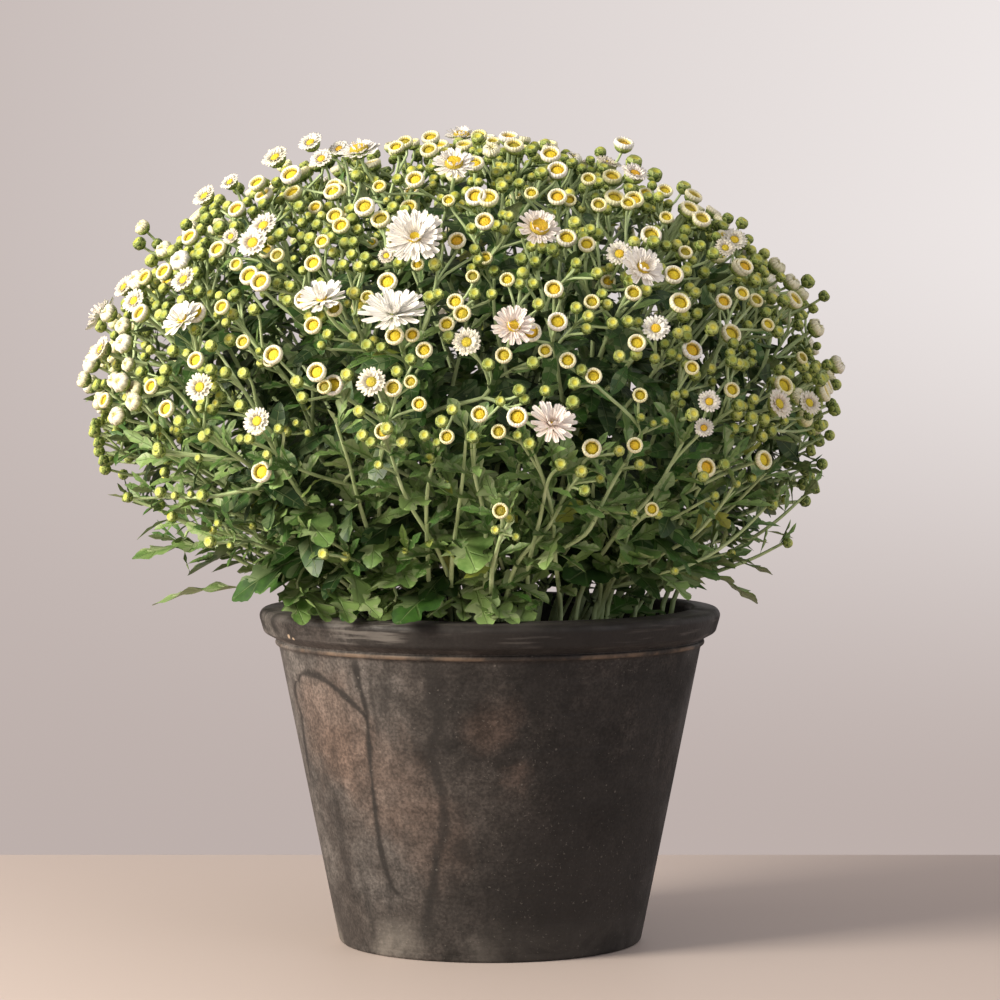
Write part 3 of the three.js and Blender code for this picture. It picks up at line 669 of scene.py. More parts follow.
def leafy_run(ends, run, key):
    """Leaves in a spiral along a part of a branch."""
    start, stop, gap, kind, sizes, open_angle, droop = leaf_runs[run]
    length = sum((bezier(ends, (n + 1) / 8) - bezier(ends, n / 8)).length for n in range(8))
    count = max(0, int((stop - start) * length / gap))
    for number in range(count):
        share = start + (stop - start) * (number + draw(key, number, 21)) / max(count, 1)
        along = bezier_way(ends, share)
        aside = side_of(along, key * 77.0 + number * golden_turn)
        opened = open_angle + spread(key, number, 22, -14, 14)
        size = spread(key, number, 23, *sizes)
        add_leaf(kind, bezier(ends, share), along, aside, opened, size, draw(key, number, 24), droop)


def end_leaves(end, along, spin, turns, sizes, tones):
    """Three narrow leaves at the end of a shoot."""
    for beside, size, tone in zip(turns, sizes, tones):
        add_leaf("sprig", end, along, side_of(along, beside * 5.0 + spin), abs(beside), size, tone)


def add_bunch_head(point, size, age, stage="tight"):
    bunch_heads.append({"point": point, "stage": stage, "size": size, "age": age})


def tube_along(kind, ends, size, lead=()):
    steps, thick, thin = tube_sizes[size]
    places = list(lead) + [bezier(ends, n / steps) for n in range(steps + 1)]
    sizes = [thick] * len(lead) + [thick + (thin - thick) * n / steps for n in range(steps + 1)]
    tubes[kind].append((places, sizes))


for stem in stems:
    order, heads, tilt = stem["order"], stem["heads"], stem["tilt"]
    top, root = heads[0]["point"], stem["root"]
    reach = (top - root).length
    ends = (root, root + dome_way(tilt * 0.36, stem["turn"]) * (reach * 0.38),
            top - facing(top, 0.5) * (reach * 0.34), top)
    stem["ends"] = ends
    tube_along("stems", ends, "stem", lead=[root - up * 12])

    ways = []
    for fork in range(3):
        share = first_fork + fork_step * fork
        start, along = bezier(ends, share), bezier_way(ends, share)
        one, other = heads[2 * fork + 1], heads[2 * fork + 2]
        split = start.lerp((one["point"] + other["point"]) * 0.5, fork_share)
        way = (split - start).normalized()
        ways.append(square_to(way, along))
        long = (split - start).length
        fork_ends = (start, start + (along + way * 1.6).normalized() * (long * 0.33),
                     split - way * (long * 0.33), split)
        tube_along("stems", fork_ends, "fork")
        leafy_run(fork_ends, "fork", order * 10 + fork)
        leafy_run(fork_ends, "inside fork", 700 + order * 3 + fork)
        for place, head in ((2 * fork + 1, one), (2 * fork + 2, other)):
            reach = head["point"] - split
            axis = facing(head["point"], head.get("lift", usual_lift))
            twig = (split, split + (way + reach.normalized()).normalized() * reach.length * 0.36,
                    head["point"] - axis * reach.length * 0.32, head["point"])
            stem["twigs"][place] = twig
            leafy_run(twig, "twig", 1200 + order * 7 + place)

    # The leaves of the solids, at their own places.
    lanes = []
    for lane in range(12):
        side = ways[2].copy()
        side.rotate(Quaternion(bezier_way(ends, first_fork + 2 * fork_step), math.radians(30 * lane)))
        lanes.append(side)
    clear = min(lanes, key=lambda side: max(side.dot(way) for way in ways))
    for fork, aside in enumerate((-ways[0], ways[2], clear)):
        share = first_fork + fork_step * fork + 0.05
        length = leaf_length * small_share * spread(order, share * 100, 9, *leaf_play)
        kind = "large" if fork == 1 else "small"
        add_leaf(kind, bezier(ends, share), bezier_way(ends, share), aside, 42, length, draw(order, fork, 31))
    if tilt > outer_tilt:
        for number, beside in enumerate((-14, 60, -62, 18, -30)):
            share = 0.2 + 0.05 * number
            beside = math.radians(beside)
            aside = stem["sides"][0] * math.sin(beside) - stem["sides"][1] * math.cos(beside)
            length = leaf_length * hanging_share * spread(order, share * 100, 9, *leaf_play)
            tone = draw(order, number, 32)
            add_leaf("fine", bezier(ends, share), bezier_way(ends, share), aside, 62, length, tone)
    else:
        length = leaf_length * large_share * spread(order, 37, 9, *leaf_play)
        tone = draw(order, 5, 33)
        add_leaf("large", bezier(ends, 0.37), bezier_way(ends, 0.37), ways[1], 42, length, tone)
    runs = [("low stem", 300), ("high stem", 400), ("inside stem", 900), ("inside top", 950)]
    for run, key in runs + [("outer stem", 970)] * (tilt > outer_tilt):
        leafy_run(ends, run, key + order)

# Side shoots leave the stems low down and end among the others, a little inside the dome.
few_heads_below, bare_shoots, bare_heads = 292.0, 0.62, 0.60
for stem in stems:
    for shoot in range(4):
        key = 500 + stem["order"] * 4 + shoot
        share = 0.10 + 0.085 * shoot + spread(key, 0, 41, 0.0, 0.05)
        start, along = bezier(stem["ends"], share), bezier_way(stem["ends"], share)
        lower = spread(key, 1, 42, *((-12, 24) if stem["tilt"] > outer_tilt else (-16, 16)))
        swing = spread(key, 2, 43, -26, 26) / max(0.35, math.sin(math.radians(stem["tilt"])))
        depth = spread(key, 3, 44, 12, 46)
        end = dome_point(min(stem["tilt"] + lower, 122), stem["turn"] + swing, depth)
        long = (end - start).length
        way = (end - start).normalized()
        shoot_ends = (start, start + (along + way).normalized() * (long * 0.36),
                      end - facing(end, 0.55) * (long * 0.30), end)
        tube_along("stems", shoot_ends, "side shoot")
        leafy_run(shoot_ends, "side shoot", key)
        leafy_run(shoot_ends, "shoot's end", key + 100)
        if end.z < few_heads_below and draw(key, 5, 46) < bare_shoots:
            along, turns = bezier_way(shoot_ends, 1.0), (-32, 5, 30)
            end_leaves(end - along * 3, along, key * 40.0, turns,
                       [spread(key, beside, 58, 15, 24) for beside in turns],
                       [draw(key, beside, 59) for beside in turns])
            continue
        for bud in range(3):
            around = math.radians(120 * bud + 360 * draw(key, bud, 45))
            away = spread(key, bud, 46, 5, 10) if bud else 0.0
            point = ring_spot(end, frame_at(end), away, around)
            point += facing(end, 0.4) * spread(key, bud, 47, 2, 9)
            if bud:
                from_place = bezier(shoot_ends, 0.88 + 0.03 * bud)
                axis = facing(point, 0.45)
                span = (point - from_place).length
                tube_along("twigs", (from_place, from_place + facing(end, 0.4) * span * 0.4,
                                     point - axis * span * 0.4, point), "pedicel")
            stage = "tight" if draw(key, bud, 48) < 0.86 else "ringed"
            add_bunch_head(point, spread(key, bud, 49, 0.55, 0.85), draw(key, bud, 50) * 0.5, stage)

# Low shoots fan out all round over the lip, with narrow leaves up to their ends.
low_shoots, low_shoots_with_bud = 44, 0.40
for shoot in range(low_shoots):
    key = 2000 + shoot
    turn = 360.0 * (shoot + spread(key, 0, 51, -0.35, 0.35)) / low_shoots
    outward = dome_way(90, turn)
    start = outward * spread(key, 1, 52, 44, 74)
    start.z = soil_top - 5
    end = dome_point(spread(key, 2, 53, 98, 128), turn + spread(key, 3, 54, -8, 8), spread(key, 4, 55, 6, 26))
    long = (end - start).length
    shoot_ends = (start, start + up * 37 + outward * 20,
                  end - outward * (long * 0.34) - up * (long * 0.08), end)
    tube_along("twigs", shoot_ends, "low shoot")
    leafy_run(shoot_ends, "low shoot", key)
    along = bezier_way(shoot_ends, 1.0)
    if draw(key, 5, 56) < low_shoots_with_bud:
        add_bunch_head(end, spread(key, 6, 57, 0.55, 0.80), 0.2)
    sizes, tones = [spread(key, 7, 58, 14, 22)] * 3, [draw(key, 8, 59)] * 3
    end_leaves(end - along * 2, along, 0.0, (-28, 4, 34), sizes, tones)


# Stems that the camera sees in front of the leaves, low on the plant. Each is drawn from its
# foot to its top: sideways and height in mm in the plane through the axis, as the camera sees.
front_stems = [
    [(6, 185), (9, 198), (16, 220), (32, 238), (41, 253), (50, 273), (58, 282)],
    [(-13, 198), (9, 210), (32, 223), (55, 236), (64, 252), (73, 269), (83, 285)],
    [(1, 189), (1, 213), (4, 227), (8, 243), (6, 248)],
    [(-4, 191), (-2, 221), (-4, 250), (-9, 271), (-11, 291)],
    [(-35, 191), (-36, 221), (-37, 253), (-34, 274), (-29, 289)],
    [(-55, 196), (-62, 220), (-69, 234), (-74, 248), (-78, 262), (-82, 278), (-89, 300)],
    [(-62, 216), (-64, 245), (-65, 259), (-64, 278), (-62, 293)],
    [(-93, 204), (-112, 230), (-120, 239), (-131, 256), (-142, 274), (-156, 285), (-168, 298)],
    [(-84, 203), (-110, 223), (-133, 230), (-148, 232), (-160, 231)],
    [(-90, 207), (-116, 235), (-138, 249), (-154, 257), (-174, 275), (-193, 285)],
    [(-105, 204), (-129, 214), (-145, 221), (-166, 236), (-189, 249), (-209, 257)],
    [(67, 204), (76, 221), (81, 238), (92, 249)],
    [(71, 204), (93, 221), (116, 234), (131, 249), (142, 265)],
    [(64, 200), (99, 212), (127, 224), (146, 238), (161, 253)],
    [(87, 204), (103, 230), (116, 253), (125, 268), (136, 275)],
    [(41, 191), (38, 221), (36, 250), (29, 274), (24, 287)],
    [(-23, 191), (-22, 221), (-19, 245), (-16, 268), (-14, 291)],
    [(23, 191), (22, 216), (29, 245), (34, 268), (41, 276)],
    [(110, 206), (140, 226), (165, 243), (186, 262)], [(104, 204), (130, 214), (152, 222), (170, 231)],
    [(-98, 206), (-128, 222), (-156, 236), (-182, 246)], [(96, 204), (118, 232), (140, 252), (160, 272)],
    [(-92, 206), (-126, 244), (-160, 268), (-196, 292)], [(-70, 205), (-92, 240), (-112, 262), (-128, 290)],
    [(52, 200), (70, 232), (96, 262), (112, 290)], [(-20, 196), (-30, 226), (-48, 256), (-58, 284)],
]

# Leaves at named places, from the foot of the blade to its tip in mm. Some hang over the lip.
named_leaves = [
    ((-138, -30, 207), (-189, -30, 217)), ((-160, -20, 230), (-198, -40, 241)),
    ((-176, -20, 234), (-180, -20, 218)), ((120, -30, 216), (155, -10, 213)),
    ((131, 10, 221), (163, 20, 225)), ((-115, -80, 212), (-104, -118, 197)),
    ((-106, -92, 211), (-87, -132, 194)), ((-89, -100, 214), (-75, -136, 193)),
    ((-77, -108, 211), (-61, -134, 194)), ((-96, -80, 217), (-113, -112, 200)),
    ((-54, -118, 205), (-58, -128, 195)), ((-11, -112, 207), (15, -138, 192)),
    ((-19, -110, 206), (-35, -134, 194)), ((3, -110, 206), (17, -128, 201)),
    ((28, -115, 206), (22, -130, 198)), ((-80, -110, 228), (-64, -140, 219)),
    ((-58, -115, 237), (-43, -145, 222)), ((-59, -120, 251), (-67, -150, 239)),
    ((-122, -120, 262), (-135, -150, 275)), ((-109, -125, 259), (-92, -160, 253)),
    ((-32, -150, 274), (-43, -180, 265)), ((-9, -160, 280), (6, -190, 269)),
    ((55, -150, 263), (70, -170, 259)), ((38, -140, 246), (27, -165, 232)),
    ((72, -120, 226), (87, -140, 237)), ((92, -90, 221), (111, -110, 212)),
    ((-27, -130, 238), (-10, -160, 231)), ((-75, -150, 280), (-85, -175, 290)),
    ((-103, -140, 287), (-117, -160, 280)), ((117, -100, 261), (134, -90, 249)),
]
# More leaves lie over the lip in a row, whose places are drawn.
rim_leaves, over_lip, lifted_over_lip = 17, 202.0, Vector((0.0, 9.0, 8.0))
foot_ring, bud_below = 92.0, 275.0
eye = Vector(camera_place) / MM


def front_spot(sideways, height, proud=4.0):
    """The place on the front of the dome behind which the camera sees a spot of the axis plane."""
    stretch = Vector((dome_radius + proud, dome_radius + proud, dome_rise + proud))
    ray = (Vector((sideways, 0.0, height)) - eye).normalized()
    start = Vector(((eye - dome_centre)[n] / stretch[n] for n in range(3)))
    run = Vector((ray[n] / stretch[n] for n in range(3)))
    under_root = max(0.0, start.dot(run) ** 2 - run.dot(run) * (start.dot(start) - 1))
    return eye + ray * ((-start.dot(run) - math.sqrt(under_root)) / run.dot(run))


def seen_at(sideways, height, y):
    """The point at a depth that the camera sees at a spot of the axis plane."""
    return eye + (Vector((sideways, 0.0, height)) - eye) * ((y - eye.y) / -eye.y)


def smooth_line(points, parts=4):
    """A polyline with soft bends through a few points, and its direction at each place."""
    ends = [points[0] * 2 - points[1]] + points + [points[-1] * 2 - points[-2]]
    line = []
    for a, b, c, d in zip(ends, ends[1:], ends[2:], ends[3:]):
        for part in range(parts):
            t = part / parts
            line.append(0.5 * ((b * 2) + (c - a) * t + (a * 2 - b * 5 + c * 4 - d) * t * t
                               + (b * 3 - a - c * 3 + d) * t * t * t))
    line.append(points[-1])
    ways = [(after - before).normalized() for before, after in zip(line, line[1:])]
    return line, ways + ways[-1:]


branch_spots, branch_ways = [], []
for number, course in enumerate(front_stems):
    foot_y = -math.sqrt(max(0.0, foot_ring ** 2 - course[0][0] ** 2))
    last_y = front_spot(*course[-1], proud=-8.0).y
    steps = [math.dist(a, b) for a, b in zip(course, course[1:])]
    line = []
    for place, (sideways, height) in enumerate(course):
        share = sum(steps[:place]) / sum(steps)
        line.append(seen_at(sideways, height, foot_y + (last_y - foot_y) * share ** 0.8))
    foot = line[0].copy()
    foot.x, foot.y, foot.z = foot.x * 0.93, foot.y * 0.90, soil_top - 6
    line, ways = smooth_line([foot] + line)
    end, along = line[-1], ways[-1]
    tubes["stems"].append((line, [1.6 - 0.8 * n / len(line) for n in range(len(line))]))
    branch_spots += line[5:]
    branch_ways += ways[5:]
    for place in range(6, len(line)):
        aside = side_of(ways[place], place * 68.0 + number * 50.0)
        size = spread(number, place, 95, 18, 30)
        kind = "sprig" if place % 2 else "small"
        add_leaf(kind, line[place], ways[place], aside, 48, size, 0.45 + 0.5 * draw(number, place, 96))
    sizes = [spread(number, 3, 95, 13, 20)] * 3
    end_leaves(end - along * 3, along, number * 30.0, (-34, 6, 30), sizes, [0.8] * 3)
    if end.z < bud_below:
        add_bunch_head(end, spread(number, 4, 95, 0.6, 0.9), 0.3)

for number in range(rim_leaves):
    around = math.radians(-76 + 92 * (number + spread(number, 3, 99, -0.4, 0.4)) / rim_leaves)
    outward = Vector((math.sin(around), -math.cos(around), 0.0))
    foot = outward * spread(number, 4, 99, 92, 104) + up * spread(number, 5, 99, 203, 222)
    tip = outward * spread(number, 6, 99, 124, 133) + up * spread(number, 7, 99, 199, 206)
    tip += up.cross(outward) * spread(number, 8, 99, -12, 12)
    named_leaves.append((foot, tip))

stem_spots = [spot for places, widths in tubes["stems"] for spot in places if spot.z > soil_top]
for number, (foot, tip) in enumerate(named_leaves):
    foot, tip = Vector(foot), Vector(tip)
    if tip.z < over_lip and number < len(named_leaves) - rim_leaves:
        tip += lifted_over_lip
    way = (tip - foot).normalized()
    side = way.cross(up).normalized()
    face = side.cross(way).normalized()
    roll = 0.25 if abs(tip.x) > 110 else 0.6
    face.rotate(Quaternion(way, spread(number, 1, 97, -roll, roll)))
    length, tone = (tip - foot).length + 5, spread(number, 2, 98, 0.70, 1.30)
    leaves["fine"].append((foot - way * 4, way, face, length, tone))
    start = min(stem_spots, key=lambda spot: (spot - foot).length)
    tube_along("twigs", (start, start.lerp(foot, 0.35) + up * 2, foot - way * 7, foot - way * 2),
               "leaf stalk")


# Each head of the solids stands in a loose bunch. Three stalks leave its twig, each with one
# head at its end and a few younger ones below. Those seen from the front have named places.
# All are pushed apart until none touch. Heads of the solids keep their places.
stalks_each_head = 3
stalk_away, side_away = (13.0, 23.0), (8.0, 14.0)
head_half_width = {"tight": 4.1, "ringed": 6.1, "tuft": 6.1, "ragged": 7.6, "open": 12.0}
head_middle = 4.0
push_rounds, push_reach, push_most, push_share, head_gap = 50, 40.0, 6, 0.45, 0.3
light_way = Vector((-0.28, -0.92, 0.28))

# Named heads: sideways and height in mm in the plane through the axis, as the camera sees
# them, and size. They stand on the front of the dome.
front_rings = [
    (-34, 465, 0.89), (-49, 463, 0.78), (77, 461, 0.99), (-54, 460, 0.78), (-35, 458, 0.87),
    (1, 458, 0.87), (35, 455, 0.97), (39, 446, 0.96), (-114, 443, 1.06), (57, 442, 0.72),
    (-43, 441, 0.90), (-134, 439, 0.88), (-64, 438, 0.66), (-87, 436, 0.71), (101, 435, 0.78),
    (24, 434, 0.66), (-8, 431, 0.98), (39, 431, 0.89), (46, 430, 0.66), (-24, 430, 0.61),
    (80, 428, 0.71), (63, 427, 0.75), (-72, 425, 0.98), (-146, 424, 0.87), (102, 420, 0.67),
    (122, 418, 0.92), (-3, 417, 0.88), (-201, 414, 0.80), (-173, 408, 0.87), (-19, 406, 0.83),
    (-54, 406, 0.88), (-97, 406, 0.70), (56, 404, 0.79), (-188, 401, 0.88), (-157, 401, 0.85),
    (-123, 398, 0.70), (-178, 394, 1.05), (-42, 393, 0.60), (-102, 393, 0.83), (-147, 393, 0.66),
    (147, 391, 0.86), (-188, 388, 0.87), (-10, 386, 0.64), (106, 386, 0.93), (10, 384, 0.69),
    (-204, 383, 0.98), (-59, 382, 0.92), (-132, 382, 0.98), (174, 382, 0.89), (37, 378, 0.87),
    (83, 376, 0.78), (146, 376, 0.71), (-71, 374, 0.64), (154, 372, 0.71), (59, 371, 0.73),
    (-20, 371, 0.77), (135, 371, 0.80), (112, 370, 0.70), (-155, 368, 0.75), (-90, 367, 0.78),
    (-16, 364, 0.82), (-169, 364, 0.98), (-220, 364, 0.94), (-25, 358, 0.73), (161, 358, 0.67),
    (-212, 357, 0.87), (24, 353, 0.91), (-45, 352, 0.68), (-55, 351, 0.86), (-143, 348, 0.69),
    (85, 347, 0.83), (-38, 343, 0.77), (32, 343, 0.64), (8, 340, 0.77), (-125, 340, 0.92),
    (181, 339, 0.63), (45, 337, 0.77), (-170, 337, 0.84), (-230, 335, 0.99), (117, 333, 0.69),
    (-100, 330, 0.91), (60, 328, 0.77), (-235, 326, 0.85), (-46, 325, 0.63), (-213, 324, 0.96),
    (-96, 322, 0.68), (-196, 322, 0.76), (-56, 321, 0.82), (140, 320, 0.75), (87, 317, 0.69),
    (-223, 314, 0.77), (-206, 313, 0.86), (-41, 312, 0.68), (-187, 309, 0.84), (-6, 306, 0.77),
    (16, 304, 0.95), (-135, 298, 0.69), (-62, 296, 0.77), (5, 296, 0.68), (-25, 293, 0.68),
    (84, 288, 0.73), (59, 286, 0.87), (94, 251, 0.65), (6, 250, 0.73),
]
front_ragged = [
    (-87, 459, 0.72), (-97, 453, 0.78), (-164, 431, 0.88), (-150, 409, 0.57), (141, 406, 0.85),
    (-136, 404, 1.02), (136, 402, 0.69), (75, 398, 0.86), (-60, 398, 0.55), (-205, 371, 0.85),
    (96, 355, 0.88), (-13, 347, 0.91), (-68, 324, 0.94), (-167, 321, 0.93), (127, 313, 0.74),
    (184, 312, 0.85), (124, 298, 0.63), (-123, 453, 0.95), (-103, 462, 0.85), (-211, 379, 0.80),
    (-150, 440, 0.70),
]
front_buds = [
    (83, 451, 1.23), (95, 444, 1.15), (17, 440, 0.82), (7, 438, 0.89), (112, 437, 1.08),
    (-56, 426, 0.88), (-110, 426, 0.96), (-49, 424, 0.88), (11, 421, 0.81), (138, 420, 0.87),
    (-164, 419, 0.99), (146, 417, 0.94), (49, 417, 0.95), (-176, 416, 0.93), (-148, 415, 0.83),
    (-156, 414, 1.04), (58, 413, 0.88), (18, 412, 0.87), (-28, 409, 0.80), (54, 409, 0.81),
    (150, 408, 0.78), (-79, 406, 0.81), (-203, 405, 1.01), (-193, 405, 0.87), (122, 404, 0.83),
    (24, 404, 0.80), (-9, 402, 0.80), (36, 402, 0.87), (-167, 399, 0.97), (129, 399, 0.97),
    (-72, 397, 0.87), (-196, 395, 1.00), (154, 395, 1.05), (-53, 394, 0.80), (50, 394, 0.80),
    (-32, 393, 0.93), (-85, 393, 0.80), (-67, 393, 0.73), (-76, 392, 0.80), (62, 388, 0.87),
    (169, 386, 0.78), (81, 383, 0.94), (184, 383, 1.08), (25, 382, 0.80), (17, 382, 0.80),
    (90, 378, 0.94), (119, 377, 0.81), (-30, 376, 0.79), (-9, 376, 0.86), (1, 376, 0.79),
    (65, 376, 0.80), (41, 376, 0.66), (194, 375, 0.87), (-117, 372, 0.87), (170, 372, 0.98),
    (178, 371, 0.92), (28, 370, 0.86), (68, 370, 0.80), (188, 368, 0.79), (50, 368, 0.86),
    (-137, 367, 0.87), (57, 363, 0.86), (80, 360, 0.87), (71, 359, 0.86), (56, 356, 0.79),
    (-171, 355, 0.81), (167, 354, 0.90), (-218, 352, 0.77), (-24, 351, 0.92), (-79, 351, 0.86),
    (-162, 346, 0.88), (-71, 346, 0.92), (-63, 345, 0.79), (-184, 343, 0.89), (75, 340, 0.86),
    (-46, 338, 0.85), (25, 336, 0.92), (-1, 335, 0.92), (53, 332, 0.86), (-54, 331, 0.85),
    (-143, 330, 0.87), (-83, 329, 0.92), (191, 326, 1.06), (-112, 325, 0.93), (49, 324, 0.92),
    (17, 320, 0.92), (32, 320, 0.79), (-109, 316, 0.86), (20, 315, 0.79), (6, 314, 0.72),
    (48, 313, 0.99), (200, 309, 1.01), (-63, 309, 0.92), (-22, 309, 0.79), (-76, 308, 0.86),
    (-180, 302, 0.95), (-28, 302, 0.92), (-123, 298, 0.73), (-164, 296, 0.67), (-74, 294, 0.86),
    (-38, 294, 0.79), (16, 294, 0.72), (-10, 293, 0.92), (-140, 292, 0.80), (-145, 292, 0.74),
    (-69, 290, 0.86), (-51, 290, 0.85), (-31, 290, 0.66), (23, 289, 0.92), (-193, 287, 0.82),
    (75, 285, 0.79), (-130, 283, 0.67), (-170, 281, 0.61), (-65, 277, 0.66), (41, 277, 0.92),
    (87, 277, 0.80), (136, 277, 0.88), (53, 273, 0.92), (124, 270, 0.81), (64, 269, 0.66),
    (55, 262, 0.86), (-192, 261, 0.83), (-175, 260, 0.54), (-184, 259, 0.62), (131, 259, 0.68),
    (-211, 258, 0.77), (84, 249, 0.60), (98, 248, 0.67), (11, 246, 0.66), (-159, 243, 0.61),
    (3, 239, 0.66), (15, 235, 0.60), (-163, 232, 0.89), (-152, 230, 0.55), (-97, 225, 0.81),
    (108, 215, 0.62),
]


top_flower, top_flower_lean = 10, Vector((0.0, -0.75, 0.35))
tuft_side, right_tuft_side, tuft_top, tuft_back = 0.74, 0.84, 0.80, 0.40
tufts_at_side, tufts_anywhere = 0.60, 0.12
bare_side, bare_below = 0.80, 300.0


def head_axis(point, lift, to_light):
    """Heads face outwards and up, and those on the lit front turn towards the light."""
    outward = facing(point, lift)
    from_side = 1 - (0.95 if outward.x > 0 else 0.75) * outward.x ** 2
    share = to_light * max(0.0, min(1.0, 0.55 - outward.y)) * from_side
    return (outward + light_way * share).normalized()


def add_head(point, stage, key, size, age, **more):
    head = {"point": point, "stage": stage, "key": key, "size": size, "age": age, "rank": "stalk",
            "flower": None, "lift": usual_lift, "fixed": False, "to_light": 1.0, "named": False}
    heads.append({**head, **more})


low_edge, low_stalks, front_y = 262.0, 1, -0.12
solid_sizes, stalk_sizes, side_sizes = (0.90, 1.0), (0.78, 1.0), (0.62, 0.98)
# Shares of half-open heads on the stalks and beside them: on the front, and elsewhere.
ringed_stalks, ringed_sides, ragged_stalks = (0.16, 0.52), (0.05, 0.20), 0.035
third_side_head = 0.45
heads = []
for stem in stems:
    for place, head in enumerate(stem["heads"]):
        key = stem["order"] * 7 + place
        point = head["point"]
        if point.z < low_edge and head["stage"] == "ringed":
            head["stage"] = "tight"
        if place:
            tube_along("twigs", stem["twigs"][place], "twig")
        size, age = spread(key, 0, 61, *solid_sizes), spread(key, 0, 62, 0.3, 1.0)
        add_head(point, head["stage"], key * 20, size, age, flower=head.get("flower"), fixed=True,
                 lift=head.get("lift", usual_lift), to_light=0.0 if "flower" in head else 0.5)
        sides = frame_at(point)
        inner = head.get("width", 0) / 2
        seen = facing(point, 0.0).y < front_y
        for stalk in range(low_stalks if point.z < low_edge else stalks_each_head):
            stalk_key = key * 20 + 1 + stalk * 6
            around = math.radians(120 * stalk + 360 * draw(key, 1, 63) + spread(stalk_key, 1, 63, -24, 24))
            away = math.hypot(inner, spread(stalk_key, 2, 63, *stalk_away))
            spot = onto_dome(ring_spot(point, sides, away, around), spread(stalk_key, 3, 64, -3, 11))
            if spot.z < few_heads_below and draw(stalk_key, 9, 65) < bare_heads:
                continue
            lot = draw(stalk_key, 4, 65)
            ragged = lot > 1 - ragged_stalks and not seen
            stage = "ringed" if lot < ringed_stalks[not seen] else "ragged" if ragged else "tight"
            add_head(spot, stage, stalk_key, spread(stalk_key, 6, 67, *stalk_sizes), draw(stalk_key, 7, 68))
            for beside in range(2 + (draw(stalk_key, 8, 69) > 1 - third_side_head)):
                side_key = stalk_key + 1 + beside
                turn = math.radians(golden_turn * beside + 360 * draw(side_key, 1, 63))
                away = spread(side_key, 2, 63, *side_away)
                side = onto_dome(ring_spot(spot, sides, away, turn), spread(side_key, 3, 64, 1, 17))
                if side.z < few_heads_below and draw(side_key, 9, 65) < bare_heads:
                    continue
                stage = "ringed" if draw(side_key, 4, 65) > 1 - ringed_sides[not seen] else "tight"
                add_head(side, stage, side_key, spread(side_key, 6, 67, *side_sizes),
                         draw(side_key, 7, 68) * 0.7, rank="side")

free = [number for number, head in enumerate(heads) if not head["fixed"]]
free_points = np.array([heads[number]["point"] for number in free])
for stage, table in (("ragged", front_ragged), ("ringed", front_rings), ("tight", front_buds)):
    for sideways, height, size in table:
        spot = front_spot(sideways, height)
        nearest = int(np.argmin(np.linalg.norm(free_points - np.array(spot), axis=1)))
        free_points[nearest] = 1e6
        head = heads[free[nearest]]
        head.update(stage=stage, size=size, age=min(1.0, max(0.05, (size - 0.62) * 2.6)), named=True,
                    to_light=2.0 if stage == "ragged" else 1.0)
        head["point"] = spot - head_axis(spot, usual_lift, head["to_light"]) * head_middle
for number, head in enumerate(bunch_heads):
    add_head(head["point"], head["stage"], 9000 + number, head["size"], head["age"], lift=0.45, fixed=True)

centres = np.array([head["point"] + head_axis(head["point"], head["lift"], head["to_light"]) * head_middle
                    for head in heads])
half_widths = np.array([head_half_width[head["stage"]] * head["size"] for head in heads])
for number, head in enumerate(heads):
    if head["flower"] is not None:
        half_widths[number] = open_flowers[head["flower"]][2] * 0.40
moves = np.array([0.0 if head["fixed"] or head["named"] else 1.0 for head in heads])
near = np.linalg.norm(centres[:, None, :] - centres[None, :, :], axis=2) < push_reach
one, other = np.nonzero(np.triu(near, 1))
touching = half_widths[one] + half_widths[other] + head_gap
for _ in range(push_rounds):
    gap = centres[one] - centres[other]
    far = np.linalg.norm(gap, axis=1) + 1e-6
    push = gap / far[:, None] * (np.clip(touching - far, 0, push_most) * push_share)[:, None]
    np.add.at(centres, one, push * moves[one][:, None])
    np.add.at(centres, other, -push * moves[other][:, None])

for number, head in enumerate(heads):
    centre = Vector(centres[number])
    head["axis"] = head_axis(centre, head["lift"], head["to_light"])
    if head["flower"] == top_flower:
        head["axis"] = (head["axis"] + top_flower_lean).normalized()
    if not head["fixed"]:
        head["point"] = centre - head["axis"] * head_middle
    if head["stage"] == "ringed":
        outward = facing(centre, 0.0)
        beside = abs(outward.x)
        edge = tuft_side if outward.x < 0 else right_tuft_side
        if beside > bare_side and centre.z < bare_below:
            head["stage"] = "tight"
        elif beside > edge or outward.z > tuft_top or outward.y > tuft_back:
            tufts = tufts_at_side * beside + tufts_anywhere
            head["stage"] = "tuft" if draw(head["key"], 2, 77) < tufts else "ringed"

